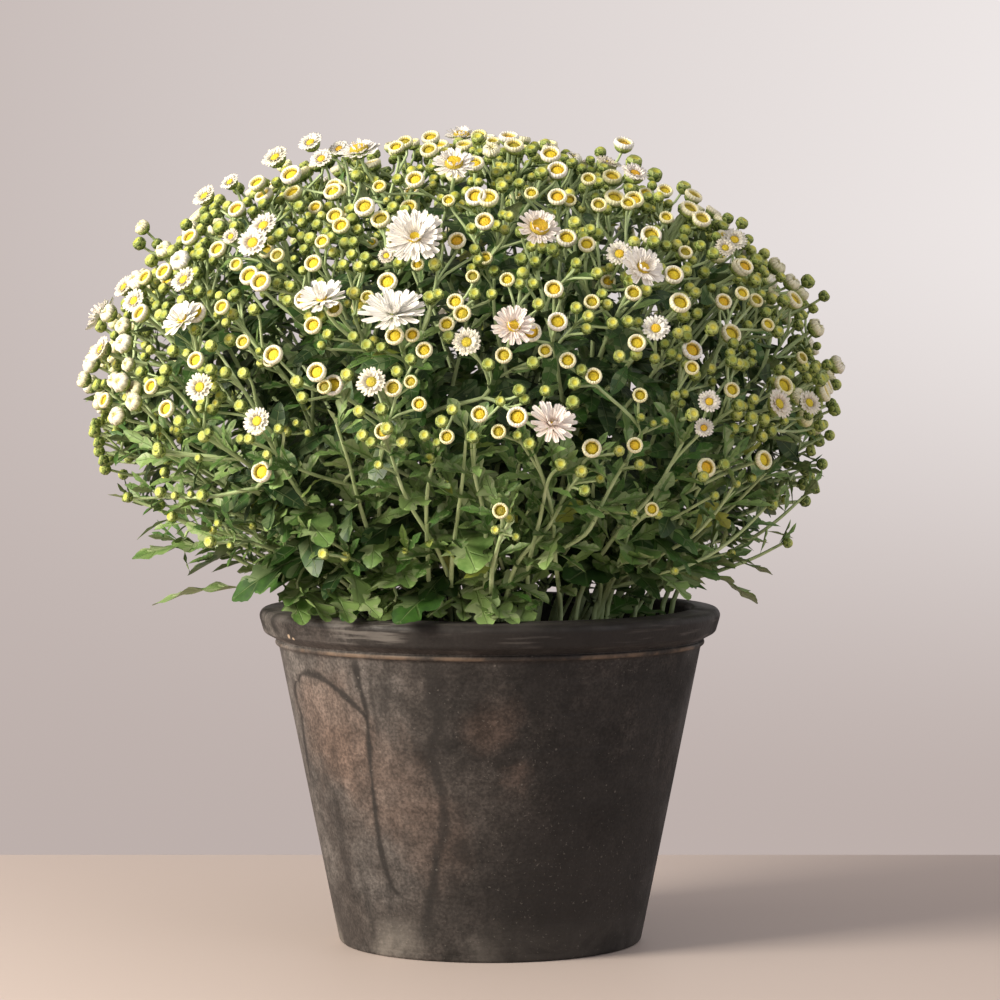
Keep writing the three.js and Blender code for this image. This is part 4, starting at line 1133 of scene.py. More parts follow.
# Each loose head grows from the nearest branch that already runs its way. Stalks come first,
# so younger heads can leave the stalks of older ones. The cost of a branch rises with a stalk
# that isn't as long as wanted, turns sharply, is very short, or starts above its head.
turn_cost, short_cost, short_stalk, sink_cost = 34, 60, 6, 1.5
stalk_lengths = {"stalk": (24, 40), "side": (9, 20)}
for kind in ("stems", "twigs"):
    for places, widths in tubes[kind]:
        for before, spot, after in zip(places, places[1:], places[2:]):
            if spot.z > soil_top + 25:
                branch_spots.append(spot)
                branch_ways.append((after - before).normalized())
spots, ways = np.array(branch_spots), np.array(branch_ways)
for rank in ("stalk", "side"):
    new_spots, new_ways = [], []
    for head in heads:
        if head["fixed"] or head["rank"] != rank:
            continue
        reach = np.array(head["point"]) - spots
        long = np.linalg.norm(reach, axis=1) + 1e-6
        along = (reach * ways).sum(axis=1) / long
        wanted = spread(head["key"], 9, 66, *stalk_lengths[rank])
        sinking = np.maximum(0.0, spots[:, 2] - head["point"].z + 2.0)
        cost = np.abs(long - wanted) + turn_cost * (1 - along)
        cost = cost + short_cost * (long < short_stalk) + sink_cost * sinking
        best = int(np.argmin(cost))
        start, way, span = Vector(spots[best]), Vector(ways[best]), long[best]
        aside = (head["point"] - start).normalized()
        stalk = (start, start + (way * 1.1 + aside).normalized() * span * 0.40,
                 head["point"] - head["axis"] * span * 0.28, head["point"])
        tube_along("twigs", stalk, rank)
        new_spots += [bezier(stalk, 0.25 + 0.1 * n) for n in range(6)]
        new_ways += [bezier_way(stalk, 0.25 + 0.1 * n) for n in range(6)]
        if rank == "side":
            size, tone = spread(head["key"], 4, 67, 6, 13), draw(head["key"], 5, 68)
            add_leaf("bract", start, way, aside, 38, size, tone)
        else:
            leafy_run(stalk, "stalk", head["key"] % 997)
    spots = np.concatenate([spots, np.array(new_spots)])
    ways = np.concatenate([ways, np.array(new_ways)])


# Green tubes: stems, forks, twigs and pedicels. One Geometry Nodes tree gives every path its
# round section, thicker at its start. They are a dull grey-green with pale fuzz.
stem_green, tree, shader = new_finish("green_stem", {"Roughness": 0.62})
bark = mottled(tree, (0.170, 0.240, 0.090), (0.420, 0.530, 0.255), (0.640, 0.730, 0.430), 70.0, 0.50, 0.52)
bark.to(shader["Base Color"])
grained(tree, 420.0, 1500.0, 0.0002).to(shader["Normal"])


def carried(tree, name, kind):
    """A value that each point of a mesh carries into a tree."""
    return read(tree, "GeometryNodeInputNamedAttribute", {"Name": name}, data_type=kind)


tube_tree, gets, gives = new_group("Geometry", "tubes_along_paths", {
    "Paths": "Geometry", "Sides": "Int", "Finish": "Material"}, {"Tubes": "Geometry"})
paths = read(tube_tree, "GeometryNodeMeshToCurve", {"Mesh": gets["Paths"]})
section = read(tube_tree, "GeometryNodeCurvePrimitiveCircle", {"Resolution": gets["Sides"], "Radius": 1.0})
swept = read(tube_tree, "GeometryNodeCurveToMesh", {
    "Curve": paths, "Profile Curve": section, "Scale": carried(tube_tree, "thick", "FLOAT"),
    "Fill Caps": True})
made_real(read(tube_tree, "GeometryNodeSetShadeSmooth", {"Geometry": swept}), gets["Finish"], gives)

stem_nodes = [f"leafy_stem_{order + 1:02d}" for order in range(stem_count)]
for kind, sides in (("stems", 8), ("twigs", 5)):
    points, edges, sizes = [], [], []
    for places, widths in tubes[kind]:
        edges += [(len(points) + n, len(points) + n + 1) for n in range(len(places) - 1)]
        points += [place * MM for place in places]
        sizes += [width * MM for width in widths]
    piece = mesh_piece("green_" + kind, points, [], edges)
    piece.data.attributes.new("thick", "FLOAT", "POINT").data.foreach_set("value", sizes)
    grown(piece, tube_tree, {"Sides": sides, "Finish": stem_green}, spare=["thick"])
    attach(piece, "root")
    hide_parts(*stem_nodes)


# Copies of small shapes are placed by one Geometry Nodes tree. Each point gives its turn,
# size, choice of shape, tone, age and pinkness, and all are made real in one mesh a piece.
copies_tree, gets, gives = new_group("Geometry", "placed_copies", {
    "Places": "Geometry", "Shapes": "Collection", "Finish": "Material"}, {"Copies": "Geometry"})
shapes = read(copies_tree, "GeometryNodeCollectionInfo", {
    "Collection": gets["Shapes"], "Separate Children": True, "Reset Children": True})
turned = read(copies_tree, "FunctionNodeEulerToRotation", {
    "Euler": carried(copies_tree, "turned", "FLOAT_VECTOR")})
placed = read(copies_tree, "GeometryNodeInstanceOnPoints", {
    "Points": read(copies_tree, "GeometryNodeMeshToPoints", {"Mesh": gets["Places"]}),
    "Instance": shapes, "Pick Instance": True, "Instance Index": carried(copies_tree, "which", "INT"),
    "Rotation": turned, "Scale": carried(copies_tree, "wide", "FLOAT"),
})
made_real(placed, gets["Finish"], gives)


def copies_piece(name, shape_meshes, places, finish):
    """One mesh of many copies. A place is (point in mm, turn, size, shape, tone, age, pinkness)."""
    shelf = bpy.data.collections.new(name + "_shapes")
    makings = [bpy.data.objects.new(f"{name}_{n:02d}", mesh) for n, mesh in enumerate(shape_meshes)]
    for shape in makings:
        shelf.objects.link(shape)
    piece = mesh_piece(name, [place[0] * MM for place in places], [])
    turns = np.array([tuple(place[1].to_euler()) for place in places]).ravel()
    piece.data.attributes.new("turned", "FLOAT_VECTOR", "POINT").data.foreach_set("vector", turns)
    for title, kind, column in (("wide", "FLOAT", 2), ("which", "INT", 3), ("tone", "FLOAT", 4),
                                ("age", "FLOAT", 5), ("pinkness", "FLOAT", 6)):
        values = [place[column] for place in places]
        piece.data.attributes.new(title, kind, "POINT").data.foreach_set("value", values)
    grown(piece, copies_tree, {"Shapes": shelf, "Finish": finish}, spare=["turned", "wide", "which"])
    for shape in makings:
        bpy.data.objects.remove(shape)
    bpy.data.collections.remove(shelf)
    return piece


full_spin = 6.28


def upright_turn(axis, share):
    """A turn that stands a shape on an axis, with a share of a full spin about it."""
    return axis.to_track_quat("Z", "Y") @ Quaternion((0, 0, 1), full_spin * share)


def shape_mesh(name, points, faces, corners, sharp=()):
    """A mesh with its map. Edges between the named pairs of points are sharp."""
    mesh = bpy.data.meshes.new(name)
    mesh.from_pydata(points, [], faces)
    layer = mesh.uv_layers.new(name="UVMap")
    layer.data.foreach_set("uv", np.array(corners, dtype=np.float32).ravel())
    mesh.shade_smooth()
    if sharp:
        pairs = {tuple(sorted(pair)) for pair in sharp}
        marks = [tuple(sorted(edge.vertices)) in pairs for edge in mesh.edges]
        mesh.attributes.new("sharp_edge", "BOOLEAN", "EDGE").data.foreach_set("value", marks)
    mesh.update()
    return mesh


def turned_shape(name, profile_mm, segments, rows=(0.0, 1.0), looped=False, scallop=0.0, crown=0.0):
    """A small turned shape. Its map runs once round, and up from the first of its rows to the last.

    A scallop draws every second point in or out, and a crown pleats the upper end unevenly.
    """
    points, rings = [], []
    for radius, height in profile_mm:
        ring = []
        for place in range(1 if radius < 1e-6 else segments):
            turn = 2 * math.pi * place / segments
            ring.append(len(points))
            reach = radius + scallop * (place % 2) * (0.6 if radius > 4.6 else -min(1.0, radius / 3.0))
            pleat = crown * (place % 2 - 0.5 + spread(place, 7, 78, -0.6, 0.6))
            reach += pleat * 0.5 * min(1.0, max(0.0, height - 4.0))
            rise = height - pleat * min(1.0, max(0.0, height - 6.0)) * min(1.0, radius / 2.0)
            points.append((reach * math.cos(turn) * MM, reach * math.sin(turn) * MM, rise * MM))
        rings.append(ring)
    rings += rings[:1] if looped else []
    faces, corners = turned_faces(rings, segments)
    steps = len(rings) - 1
    corners = [(u, rows[0] + (rows[1] - rows[0]) * step / steps) for u, step in corners]
    return shape_mesh(name, points, faces, corners)


def attribute(tree, name):
    """A value that each copy carries into its material."""
    return read(tree, "ShaderNodeAttribute", give="Fac", attribute_name=name)


def map_of(tree):
    """Place round a shape and place up it, on its map."""
    return read(tree, "ShaderNodeUVMap", uv_map="UVMap").parts()[:2]


# Buds and the green cups under half-open heads: overlapping scales with pale edges. The
# yellow middle of a tight bud shows in a dimple, or is still closed over.
dimpled_bud = [
    (0, 0), (1.2, 0.2), (3.3, 1.6), (3.9, 3.6), (3.6, 5.4), (2.8, 6.4), (1.9, 6.3), (1.3, 5.7), (0, 5.9)]
closed_bud = [(0, 0), (1.2, 0.2), (3.2, 1.6), (3.7, 3.6), (3.2, 5.3), (2.2, 6.4), (1.1, 6.9), (0, 7.0)]
cup_profile = [(0, 0), (1.0, 0.1), (3.3, 0.9), (5.0, 2.6), (5.65, 4.5), (4.4, 4.8), (0, 4.4)]

bud_green, tree, shader = new_finish("scaly_bud", {"Roughness": 0.55})
tone, (round_it, up_it) = attribute(tree, "tone"), map_of(tree)
rows = up_it * 4.4
across_scale = (round_it * 6.0 + rows.by("FLOOR") * 0.5).by("FRACT")
scale_edge = rows.by("FRACT") + abs(across_scale - 0.5) ** 2.0 * 2.5
colour = mottled(tree, (0.095, 0.150, 0.030), (0.220, 0.300, 0.060), (0.360, 0.430, 0.100), 160.0, 0.25, tone)
for share, tint in (
        (scale_edge.ramp(0.50, 0.76) * scale_edge.ramp(0.96, 0.84) * 0.60, (0.520, 0.580, 0.200)),
        (scale_edge.ramp(0.88, 1.00, 0.0, 0.85), (0.040, 0.072, 0.012)),
        (up_it.ramp(0.56, 0.68, 0.0, 0.85), blend(tree, tone, (0.330, 0.420, 0.080), (0.580, 0.600, 0.180))),
        (up_it.ramp(0.76, 0.84), mottled(tree, (0.330, 0.360, 0.040), (0.560, 0.540, 0.050),
                                         (0.760, 0.680, 0.080), 160.0, 0.25, tone)),
        (up_it.ramp(0.80, 0.86) * up_it.ramp(0.93, 0.87, 0.0, 0.45), (0.300, 0.300, 0.030))):
    colour = colour.paint(share, tint)
colour.to(shader["Base Color"])
(scale_edge * up_it.ramp(0.75, 0.60)).raised(0.0006).to(shader["Normal"])

bud_shapes = [turned_shape("dimpled", dimpled_bud, 9), turned_shape("closed", closed_bud, 9)]
cup_shapes = [turned_shape("cup", cup_profile, 10, (0.0, 0.50))]
for name, stages, shapes in (("tight_buds", ("tight",), bud_shapes),
                             ("green_cups", ("ringed", "tuft", "ragged", "open"), cup_shapes)):
    bud_places = []
    for head in heads:
        if head["stage"] in stages:
            turn = upright_turn(head["axis"], draw(head["key"], 1, 71))
            choice = int(name == "tight_buds" and draw(head["key"], 1, 75) < 0.38 and not head["named"])
            swell = head["size"] * {"tight": 1.04, "ragged": 1.12}.get(head["stage"], 1.0)
            tone = draw(head["key"], 1, 72)
            bud_places.append((head["point"], turn, swell, choice, tone, head["age"], 0.0))
    piece = copies_piece(name, shapes, bud_places, bud_green)
    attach(piece, "root")
    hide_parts(*stem_nodes)


# A half-open head is a smooth cream ring of short rays pressed together round its disc. Young
# rings are small and yellowish, and old ones are wide and white. On the map, rays go up from 0
# to 1, rings from 1 to 2, and puffed tufts and the skirts of ragged heads from 2.
ring_profile = [(5.2, 4.0), (5.95, 5.4), (5.85, 7.0), (5.15, 7.9), (4.45, 7.5), (4.0, 6.2), (4.0, 4.6)]
tuft_profile = [(5.0, 4.0), (5.9, 5.3), (6.0, 7.1), (5.3, 8.7), (4.0, 9.6), (2.4, 9.3), (1.2, 8.4), (0, 8.0)]
eye_profile = [(4.15, 4.3), (3.8, 5.3), (2.4, 5.9), (0, 6.0)]

ray_cream, tree, shader = new_finish("white_rays", {
    "Roughness": 0.50, "Subsurface Weight": 0.06, "Subsurface Radius": (0.002, 0.0016, 0.001),
    "Subsurface Scale": 1.0})
tone, age, pinkness = (attribute(tree, name) for name in ("tone", "age", "pinkness"))
round_it, up_it = map_of(tree)
on_ring, on_tuft = up_it.by("GREATER_THAN", 1.0), up_it.by("GREATER_THAN", 2.0)
petal_edge = abs((round_it * 16.0).by("FRACT") - 0.5)
colour = mottled(tree, (0.700, 0.640, 0.470), (0.850, 0.810, 0.680), (0.920, 0.905, 0.850), 200.0, 0.20,
                 (tone + age) * 0.5)
for share, tint in (
        # Young heads are yellow-green and cream.
        (age.ramp(0.55, 0.05, 0.0, 0.60), (0.720, 0.700, 0.270)),
        (age.ramp(0.98, 0.60, 0.0, 0.55), (0.860, 0.830, 0.500)),
        # The ring's inner wall is golden, and its foot and the tuft's are green.
        (up_it.ramp(1.54, 1.70, 0.0, 0.85) * up_it.ramp(1.98, 1.90), (0.740, 0.600, 0.080)),
        (up_it.ramp(1.22, 1.04, 0.0, 0.55) * on_ring, (0.560, 0.580, 0.220)),
        (up_it.ramp(2.36, 2.08, 0.0, 0.70) * on_tuft, (0.540, 0.580, 0.200)),
        # Rays that are pressed together part at their edges, and a tuft's heart is yellow.
        (petal_edge.ramp(0.32, 0.50, 0.0, 0.40) * on_ring, (0.520, 0.470, 0.260)),
        (up_it.ramp(2.62, 2.86, 0.0, 0.85), (0.720, 0.640, 0.200)),
        # Some rays blush pink towards their foot.
        (pinkness.by("MULTIPLY", up_it.ramp(0.0, 0.9, 1.0, 0.45), use_clamp=True), (0.860, 0.640, 0.560))):
    colour = colour.paint(share, tint)
colour.to(shader["Base Color"])
grooves = (round_it * (2 * math.pi * 19)).by("COSINE") + petal_edge * -8.0 * on_tuft
grooves.raised(0.00010).to(shader["Normal"])

eye_gold, tree, shader = new_finish("yellow_eyes", {"Roughness": 0.65})
tone, age, up_it = attribute(tree, "tone"), attribute(tree, "age"), map_of(tree)[1]
where = read(tree, "ShaderNodeTexCoord", give="Object")
florets = read(tree, "ShaderNodeTexVoronoi", {"Vector": where, "Scale": 1250.0}, "Distance")
colour = mottled(tree, (0.240, 0.230, 0.018), (0.760, 0.600, 0.022), (0.840, 0.460, 0.018), 120.0, 0.35,
                 tone * 0.65 + age * 0.30)
colour = colour.paint(florets.ramp(0.40, 0.80, 0.0, 0.35), (0.420, 0.260, 0.020))
# The eye is painted darker towards its edge, where the ring shades it: painted shade.
colour.paint(up_it.ramp(0.62, 0.28, 0.0, 0.75), (0.300, 0.250, 0.018)).to(shader["Base Color"])
(florets * -1.0 + 1.0).raised(0.0004).to(shader["Normal"])


def blade_points(length, half_width, stations, rise, curl, keel=0.10, thick=0.26, notch=0.0):
    """A narrow closed ray along +Y in mm: points, faces, map corners and sharp edges."""
    points, faces, corners, sharp = [], [], [], []
    count = len(stations)
    for number, (share, width) in enumerate(stations):
        y, z, x = length * share, rise * share + curl * share * share, half_width * width
        middle = y - (notch * length if number == count - 1 else 0.0)
        points += [(-x, y, z), (0.0, middle, z - keel * x), (x, y, z), (0.0, middle, z - keel * x - thick)]
    for number in range(count - 1):
        a, b = number * 4, number * 4 + 4
        v0, v1 = stations[number][0], stations[number + 1][0]
        for side, (u0, u1) in enumerate(((0.0, 0.053), (0.053, 0.105), (0.105, 0.053), (0.053, 0.0))):
            after = (side + 1) % 4
            faces.append((a + side, a + after, b + after, b + side))
            corners += [(u0, v0), (u1, v0), (u1, v1), (u0, v1)]
        sharp += [(a, b), (a + 2, b + 2)]
    last = (count - 1) * 4
    faces += [(3, 2, 1, 0), (last, last + 1, last + 2, last + 3)]
    corners += [(0.05, 0.0)] * 4 + [(0.05, 1.0)] * 4
    return points, faces, corners, sharp


def wheel_shape(name, layers):
    """One mesh of rays set round an axis, in layers.

    A layer is its number of rays, seat radius and height, lean, blade, play and key.
    """
    points, faces, corners, sharp = [], [], [], []
    for count, seat, height, lean, blade, play, key in layers:
        for number in range(count):
            turn = 2 * math.pi * (number + spread(key, number, 81, -0.28, 0.28)) / count
            slope = lean + spread(key, number, 82, -play, play)
            size = spread(key, number, 83, 0.88, 1.05)
            lay = Matrix.Rotation(turn, 3, "Z") @ Matrix.Rotation(math.radians(slope), 3, "X")
            lay = lay @ Matrix.Rotation(spread(key, number, 84, -0.25, 0.25), 3, "Y")
            off = Matrix.Rotation(turn, 3, "Z") @ Vector((0, seat, height))
            base = len(points)
            points += [tuple((lay @ (Vector(p) * size) + off) * MM) for p in blade[0]]
            faces += [tuple(base + corner for corner in face) for face in blade[1]]
            corners += blade[2]
            sharp += [(base + a, base + b) for a, b in blade[3]]
    return shape_mesh(name, points, faces, corners, sharp)


strap = [(0, 0.5), (0.3, 0.92), (0.68, 1.0), (0.93, 0.84), (1.0, 0.42)]
short_strap = [(0, 0.6), (0.5, 1.0), (0.85, 0.9), (1.0, 0.5)]
frill = [(0, 0.7), (0.62, 1.0), (1.0, 0.50)]
outer_frill = blade_points(4.6, 1.10, frill, 0.1, 0.1)
middle_frill = blade_points(3.6, 1.05, frill, 0.2, 0.3)
skirt_profile = [(4.8, 4.0), (6.3, 6.2), (7.0, 7.3), (6.8, 7.8), (4.6, 7.4), (2.9, 7.1), (2.7, 5.0)]
ring_shapes = [
    turned_shape("closed_ring", ring_profile, 16, (1.0, 2.0), looped=True, scallop=0.26),
    wheel_shape("ragged_rays", [
        (21, 4.2, 7.3, 7, outer_frill, 6, 3), (13, 3.0, 7.2, 27, middle_frill, 8, 4)]),
    turned_shape("tuft", tuft_profile, 16, (2.0, 3.0), scallop=0.55, crown=0.95),
    turned_shape("skirt", skirt_profile, 16, (2.0, 2.6), looped=True, scallop=0.30),
]
ring_places, eye_places = [], []
for head in heads:
    if head["stage"] not in ("ringed", "tuft", "ragged"):
        continue
    turn = upright_turn(head["axis"], draw(head["key"], 1, 71))
    tone = draw(head["key"], 2, 73)
    ragged = head["stage"] == "ragged"
    pink = spread(head["key"], 3, 76, -0.2, 0.42) if ragged else 0.0
    age = 0.95 if ragged else head["age"]
    point, size = head["point"], head["size"]
    if head["stage"] == "tuft":
        ring_places.append((point, turn, size * 0.93, 2, tone, age, 0.0))
        continue
    ring_places.append((point, turn, size, 3 if ragged else 0, tone, age, pink * 0.5))
    if ragged:
        ring_places.append((point, turn, size, 1, tone, age, pink))
        point, size = point + head["axis"] * (2.9 * size), size * 0.82
    eye_places.append((point, turn, size, 0, tone, age, 0.0))

flower_shapes = []
for number, (tilt, turn, width, lift, rays, eye, pink) in enumerate(open_flowers):
    reach = width / 2 - eye * 0.6
    half = 1.32 + 0.010 * width
    outer = blade_points(reach, half, strap, 0.06 * reach, 0.04 * reach, notch=0.03)
    middle = blade_points(reach * 0.84, half * 0.95, strap, 0.08 * reach, 0.08 * reach, notch=0.03)
    inner = blade_points(reach * 0.56, half * 0.75, short_strap, 0.10 * reach, 0.22 * reach)
    rays = round(rays * 1.12)
    first, second = round(rays * 0.42), round(rays * 0.34)
    flower_shapes.append(wheel_shape(f"open_rays_{number:02d}", [
        (first, eye * 0.6, 3.9, 5, outer, 5, 200 + number),
        (second, eye * 0.55, 4.4, 15, middle, 6, 220 + number),
        (rays - first - second, eye * 0.5, 4.8, 34, inner, 8, 240 + number)]))
    head = next(head for head in heads if head["flower"] == number)
    turn_to = upright_turn(head["axis"], draw(number, 1, 74))
    ring_places.append((head["point"], turn_to, 1.0, 4 + number, 0.9, 1.0, pink))
    eye_places.append((head["point"], turn_to, eye / 3.4, 0, 0.75, 0.8, 0.0))
rings = copies_piece("white_rays", ring_shapes + flower_shapes, ring_places, ray_cream)
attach(rings, "root")
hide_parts(*[f"flower_{number + 1:02d}_rays" for number in range(len(open_flowers))], *stem_nodes)
eyes = copies_piece("yellow_eyes", [turned_shape("eye", eye_profile, 10)], eye_places, eye_gold)
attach(eyes, "root")
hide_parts(*[f"flower_{number + 1:02d}_disc" for number in range(len(open_flowers))], *stem_nodes)


# Leaves: thin lobed blades, dark above and grey-green beneath, with sunk veins. Small bracts
# sit where pedicels leave. A station is its place on the rib, and its edge forward and out.


def leaf_half(edge, sweep=0.8, least_step=0.012):
    """Stations of a leaf from one edge. Each vein sweeps forward from the rib to its edge place."""
    stations, rib_at = [(0.0, 0.0, 0.0)], 0.0
    for forward, out in edge:
        rib_at = max(rib_at + least_step, forward - sweep * out)
        stations.append((rib_at, forward, out))
    return stations + [(1.0, 1.0, 0.0)]


fine_leaf = leaf_half([
    (0.08, 0.016), (0.17, 0.018), (0.22, 0.045), (0.27, 0.095), (0.33, 0.155), (0.385, 0.200),
    (0.425, 0.218), (0.455, 0.205), (0.485, 0.215), (0.51, 0.195), (0.522, 0.150), (0.528, 0.105),
    (0.548, 0.098), (0.58, 0.140), (0.615, 0.200), (0.655, 0.245), (0.69, 0.236), (0.722, 0.246),
    (0.752, 0.220), (0.768, 0.165), (0.775, 0.122), (0.80, 0.112), (0.835, 0.142), (0.87, 0.158),
    (0.897, 0.138), (0.925, 0.132), (0.945, 0.100), (0.968, 0.086), (0.99, 0.050)])
large_leaf = leaf_half([
    (0.16, 0.018), (0.25, 0.075), (0.34, 0.165), (0.42, 0.212), (0.49, 0.205), (0.522, 0.120), (0.55, 0.100),
    (0.61, 0.190), (0.67, 0.240), (0.74, 0.225), (0.772, 0.125), (0.81, 0.118), (0.87, 0.156), (0.93, 0.125),
    (0.975, 0.075)])
small_leaf = leaf_half([
    (0.13, 0.022), (0.30, 0.060), (0.42, 0.130), (0.52, 0.190), (0.60, 0.185), (0.635, 0.105), (0.68, 0.098),
    (0.78, 0.150), (0.88, 0.125), (0.96, 0.060)])
sprig_leaf = leaf_half([
    (0.16, 0.022), (0.36, 0.085), (0.50, 0.135), (0.57, 0.070), (0.72, 0.112), (0.88, 0.060)], sweep=0.6)
inner_leaf = [
    (0.00, 0.00, 0.0), (0.18, 0.24, 0.110), (0.36, 0.44, 0.190), (0.56, 0.62, 0.200), (0.74, 0.80, 0.150),
    (0.88, 0.93, 0.080), (1.00, 1.00, 0.0)]
bract_leaf = [(0.00, 0.00, 0.0), (0.30, 0.30, 0.085), (0.66, 0.66, 0.105), (1.00, 1.00, 0.0)]

leaf_green, tree, shader = new_finish("leaf_green", {"Roughness": 0.50})
tone, age, (round_it, up_it) = attribute(tree, "tone"), attribute(tree, "age"), map_of(tree)
above = mottled(tree, (0.010, 0.036, 0.006), (0.046, 0.126, 0.017), (0.225, 0.345, 0.105), 60.0, 0.35, tone)
below = mottled(tree, (0.060, 0.100, 0.036), (0.150, 0.215, 0.082), (0.300, 0.380, 0.175), 60.0, 0.35, tone)
colour = above.paint(round_it.by("GREATER_THAN", 1.5), below)
colour = colour.paint(age.ramp(0.955, 1.0, 0.0, 0.8), (0.330, 0.360, 0.045))
from_rib = abs(round_it.by("FRACT") - 0.5)
side_veins = (up_it + 0.18).by("PINGPONG", 0.115).ramp(0.018, 0.005) * from_rib.ramp(0.48, 0.30)
vein = from_rib.ramp(0.045, 0.015).by("MAXIMUM", side_veins * 0.45)
colour.paint(vein * 0.45, (0.180, 0.240, 0.090)).to(shader["Base Color"])
(vein * -1.0 + 1.0).raised(0.0006).to(shader["Normal"])


def leaf_shape(name, stations, columns, cup, arch, wave, thick=0.007):
    """A closed thin leaf one metre long along +Y, with its face to +Z. Both sides share their rim."""
    points, faces, corners = [], [], []

    def spot(station, column, lower):
        rib_at, edge_at, out = station
        share = abs(column)
        y = rib_at + (edge_at - rib_at) * share
        z = cup * out * share ** 1.5 - arch * y * y + wave * math.sin(y * 15 + column * 1.7) * share * out
        return (out * column, y, z - (thick if lower and share < 0.99 else 0.0))

    inside = stations[1:-1]
    points += [spot(stations[0], 0, False), spot(stations[-1], 0, False)]
    rim = []
    for station in inside:
        rim.append((len(points), len(points) + 1))
        points += [spot(station, -1, False), spot(station, 1, False)]
    for lower, across in ((0, columns), (1, (-1.0, 0.0, 1.0))):
        rows = []
        for number, station in enumerate(inside):
            row = [rim[number][0]]
            for column in across[1:-1]:
                row.append(len(points))
                points.append(spot(station, column, lower))
            rows.append(row + [rim[number][1]])
        u = [(column + 1) / 2 + 2 * lower for column in across]
        v = [station[0] for station in inside]
        for col in range(len(across) - 1):
            near, far = u[col], u[col + 1]
            fans = [((0, rows[0][col + 1], rows[0][col]), ((near, 0.0), (far, v[0]), (near, v[0]))),
                    ((1, rows[-1][col], rows[-1][col + 1]), ((near, 1.0), (near, v[-1]), (far, v[-1])))]
            for low, high, v0, v1 in zip(rows, rows[1:], v, v[1:]):
                fans.append(((low[col], low[col + 1], high[col + 1], high[col]),
                             ((near, v0), (far, v0), (far, v1), (near, v1))))
            for face, around in fans:
                faces.append(face[::-1] if lower else face)
                corners += around[::-1] if lower else around
    sharp = [(0, rim[0][0]), (0, rim[0][1]), (1, rim[-1][0]), (1, rim[-1][1])]
    sharp += [(a[side], b[side]) for a, b in zip(rim, rim[1:]) for side in (0, 1)]
    return shape_mesh(name, points, faces, corners, sharp)


finer, full, plain = (-1.0, -0.66, -0.33, 0.0, 0.33, 0.66, 1.0), (-1.0, -0.5, 0.0, 0.5, 1.0), (-1.0, 0.0, 1.0)
# Each kind of leaf: its stations, the columns of its face, and the cup, arch and wave of each shape.
leaf_kinds = {
    "fine": (fine_leaf, finer, [(0.25, 0.18, 0.16), (0.05, 0.36, 0.22)]),
    "large": (large_leaf, full, [(0.10, 0.14, 0.16), (0.35, 0.26, 0.22), (-0.10, 0.38, 0.20)]),
    "small": (small_leaf, full, [(0.30, 0.16, 0.10), (0.05, 0.30, 0.20), (0.60, 0.05, 0.10)]),
    "inner": (inner_leaf, plain, [(0.20, 0.20, 0.10), (-0.10, 0.35, 0.10)]),
    "bract": (bract_leaf, plain, [(0.50, 0.22, 0.0)]),
    "sprig": (sprig_leaf, plain, [(0.30, 0.20, 0.10), (0.50, 0.05, 0.16)]),
}
leaf_shapes, first_shapes = [], {}
for kind, (stations, columns, bends) in leaf_kinds.items():
    first_shapes[kind] = len(leaf_shapes)
    leaf_shapes += [leaf_shape(kind, stations, columns, *bend) for bend in bends]
# Leaves deep inside are given darker tones as painted shade, and bracts and sprigs are lighter: the tone's
# start and its share.
leaf_tones = {"inner": (0.0, 0.34), "bract": (0.3, 0.6), "sprig": (0.35, 0.65)}
for name, kinds in (("large_leaves", ("fine", "large", "sprig")),
                    ("small_leaves", ("small", "inner", "bract"))):
    leaf_places = []
    for kind in kinds:
        for number, (place, way, face, length, tone) in enumerate(leaves[kind]):
            turn = Matrix((way.cross(face), way, face)).transposed().to_quaternion()
            choice = first_shapes[kind] + int(draw(number, 1, 91) * len(leaf_kinds[kind][2]))
            least, share = leaf_tones.get(kind, (0.0, 1.0))
            tone = least + tone * share
            leaf_places.append((place, turn, length * MM, choice, tone, draw(number, 2, 92), 0.0))
    piece = copies_piece(name, leaf_shapes, leaf_places, leaf_green)
    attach(piece, "root")
    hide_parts(*stem_nodes)


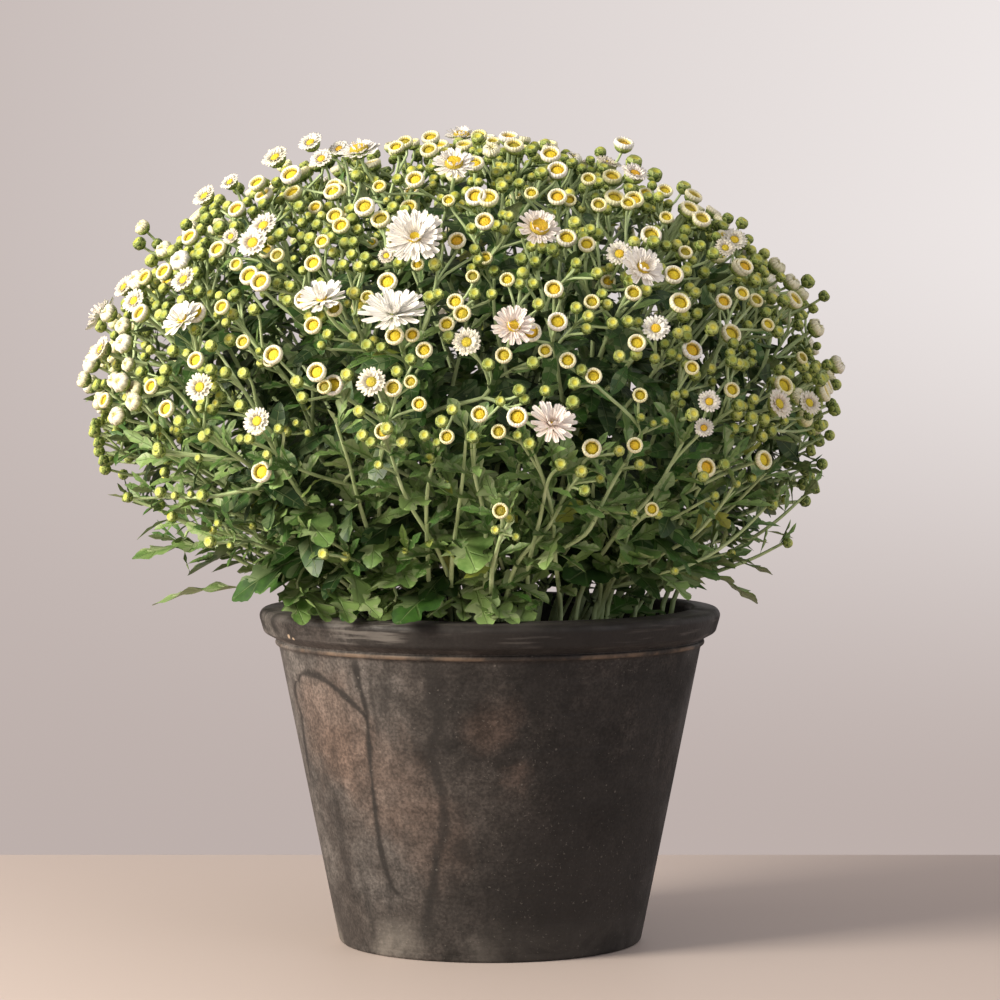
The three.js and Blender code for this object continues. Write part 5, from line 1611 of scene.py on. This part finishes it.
# A plain pale floor and a warm grey sky that is lighter at the upper right. A soft warm key
# light comes from the left, with a wider one beside it and a weak fill from the right.
floor_side, floor_front, floor_back, floor_depth = 4.0, -6.0, 0.351, 0.02
floor_points = [(x * floor_side, y, z) for z in (0.0, -floor_depth) for x, y in (
    (-1, floor_front), (1, floor_front), (1, floor_back), (-1, floor_back))]
floor_faces = [(0, 1, 2, 3), (7, 6, 5, 4), (0, 4, 5, 1), (1, 5, 6, 2), (2, 6, 7, 3), (3, 7, 4, 0)]
floor = mesh_piece("floor", floor_points, floor_faces, smooth=False)
pale_table, tree, shader = new_finish("pale_table", {
    "Roughness": 0.6, "Base Color": (0.545, 0.462, 0.425, 1.0)})
floor.data.materials.append(pale_table)

world = bpy.data.worlds.new("studio")
bpy.context.scene.world = world
world.use_nodes = True
tree = world.node_tree
x, y, z = read(tree, "ShaderNodeTexCoord", give="Generated").parts()
righter = (x + 0.20).by("MULTIPLY", 3.0, use_clamp=True)
sky = blend(tree, z.ramp(-0.135, 0.03) * righter, (0.510, 0.435, 0.412), (0.850, 0.800, 0.790))
# The camera sees the sky at full strength, and the plant is lit by a dimmer one.
shown, dimmer = (read(tree, "ShaderNodeBackground", {"Color": sky, "Strength": s}) for s in (1.0, 0.72))
seen = read(tree, "ShaderNodeLightPath", give="Is Camera Ray")
chosen = read(tree, "ShaderNodeMixShader", {0: seen, 1: dimmer, 2: shown})
chosen.to(tree.nodes["World Output"].inputs["Surface"])

for name, place, aim, size, power, tint in (
        ("key", (-1.54, -0.99, 1.05), (0, 0, 0.28), 0.75, 58.0, (1.0, 0.925, 0.80)),
        ("side", (-1.50, -0.45, 0.62), (0, 0, 0.34), 0.90, 7.5, (1.0, 0.95, 0.88)),
        ("fill", (1.5, -1.3, 0.8), (0, 0, 0.25), 1.2, 6.0, (0.92, 0.95, 1.0))):
    light_data = bpy.data.lights.new(name, "AREA")
    light_data.size = size
    light_data.energy = power
    light_data.color = tint
    light = bpy.data.objects.new(name, light_data)
    light.location = place
    light.rotation_euler = (Vector(aim) - Vector(place)).to_track_quat("-Z", "Y").to_euler()
    bpy.context.scene.collection.objects.link(light)
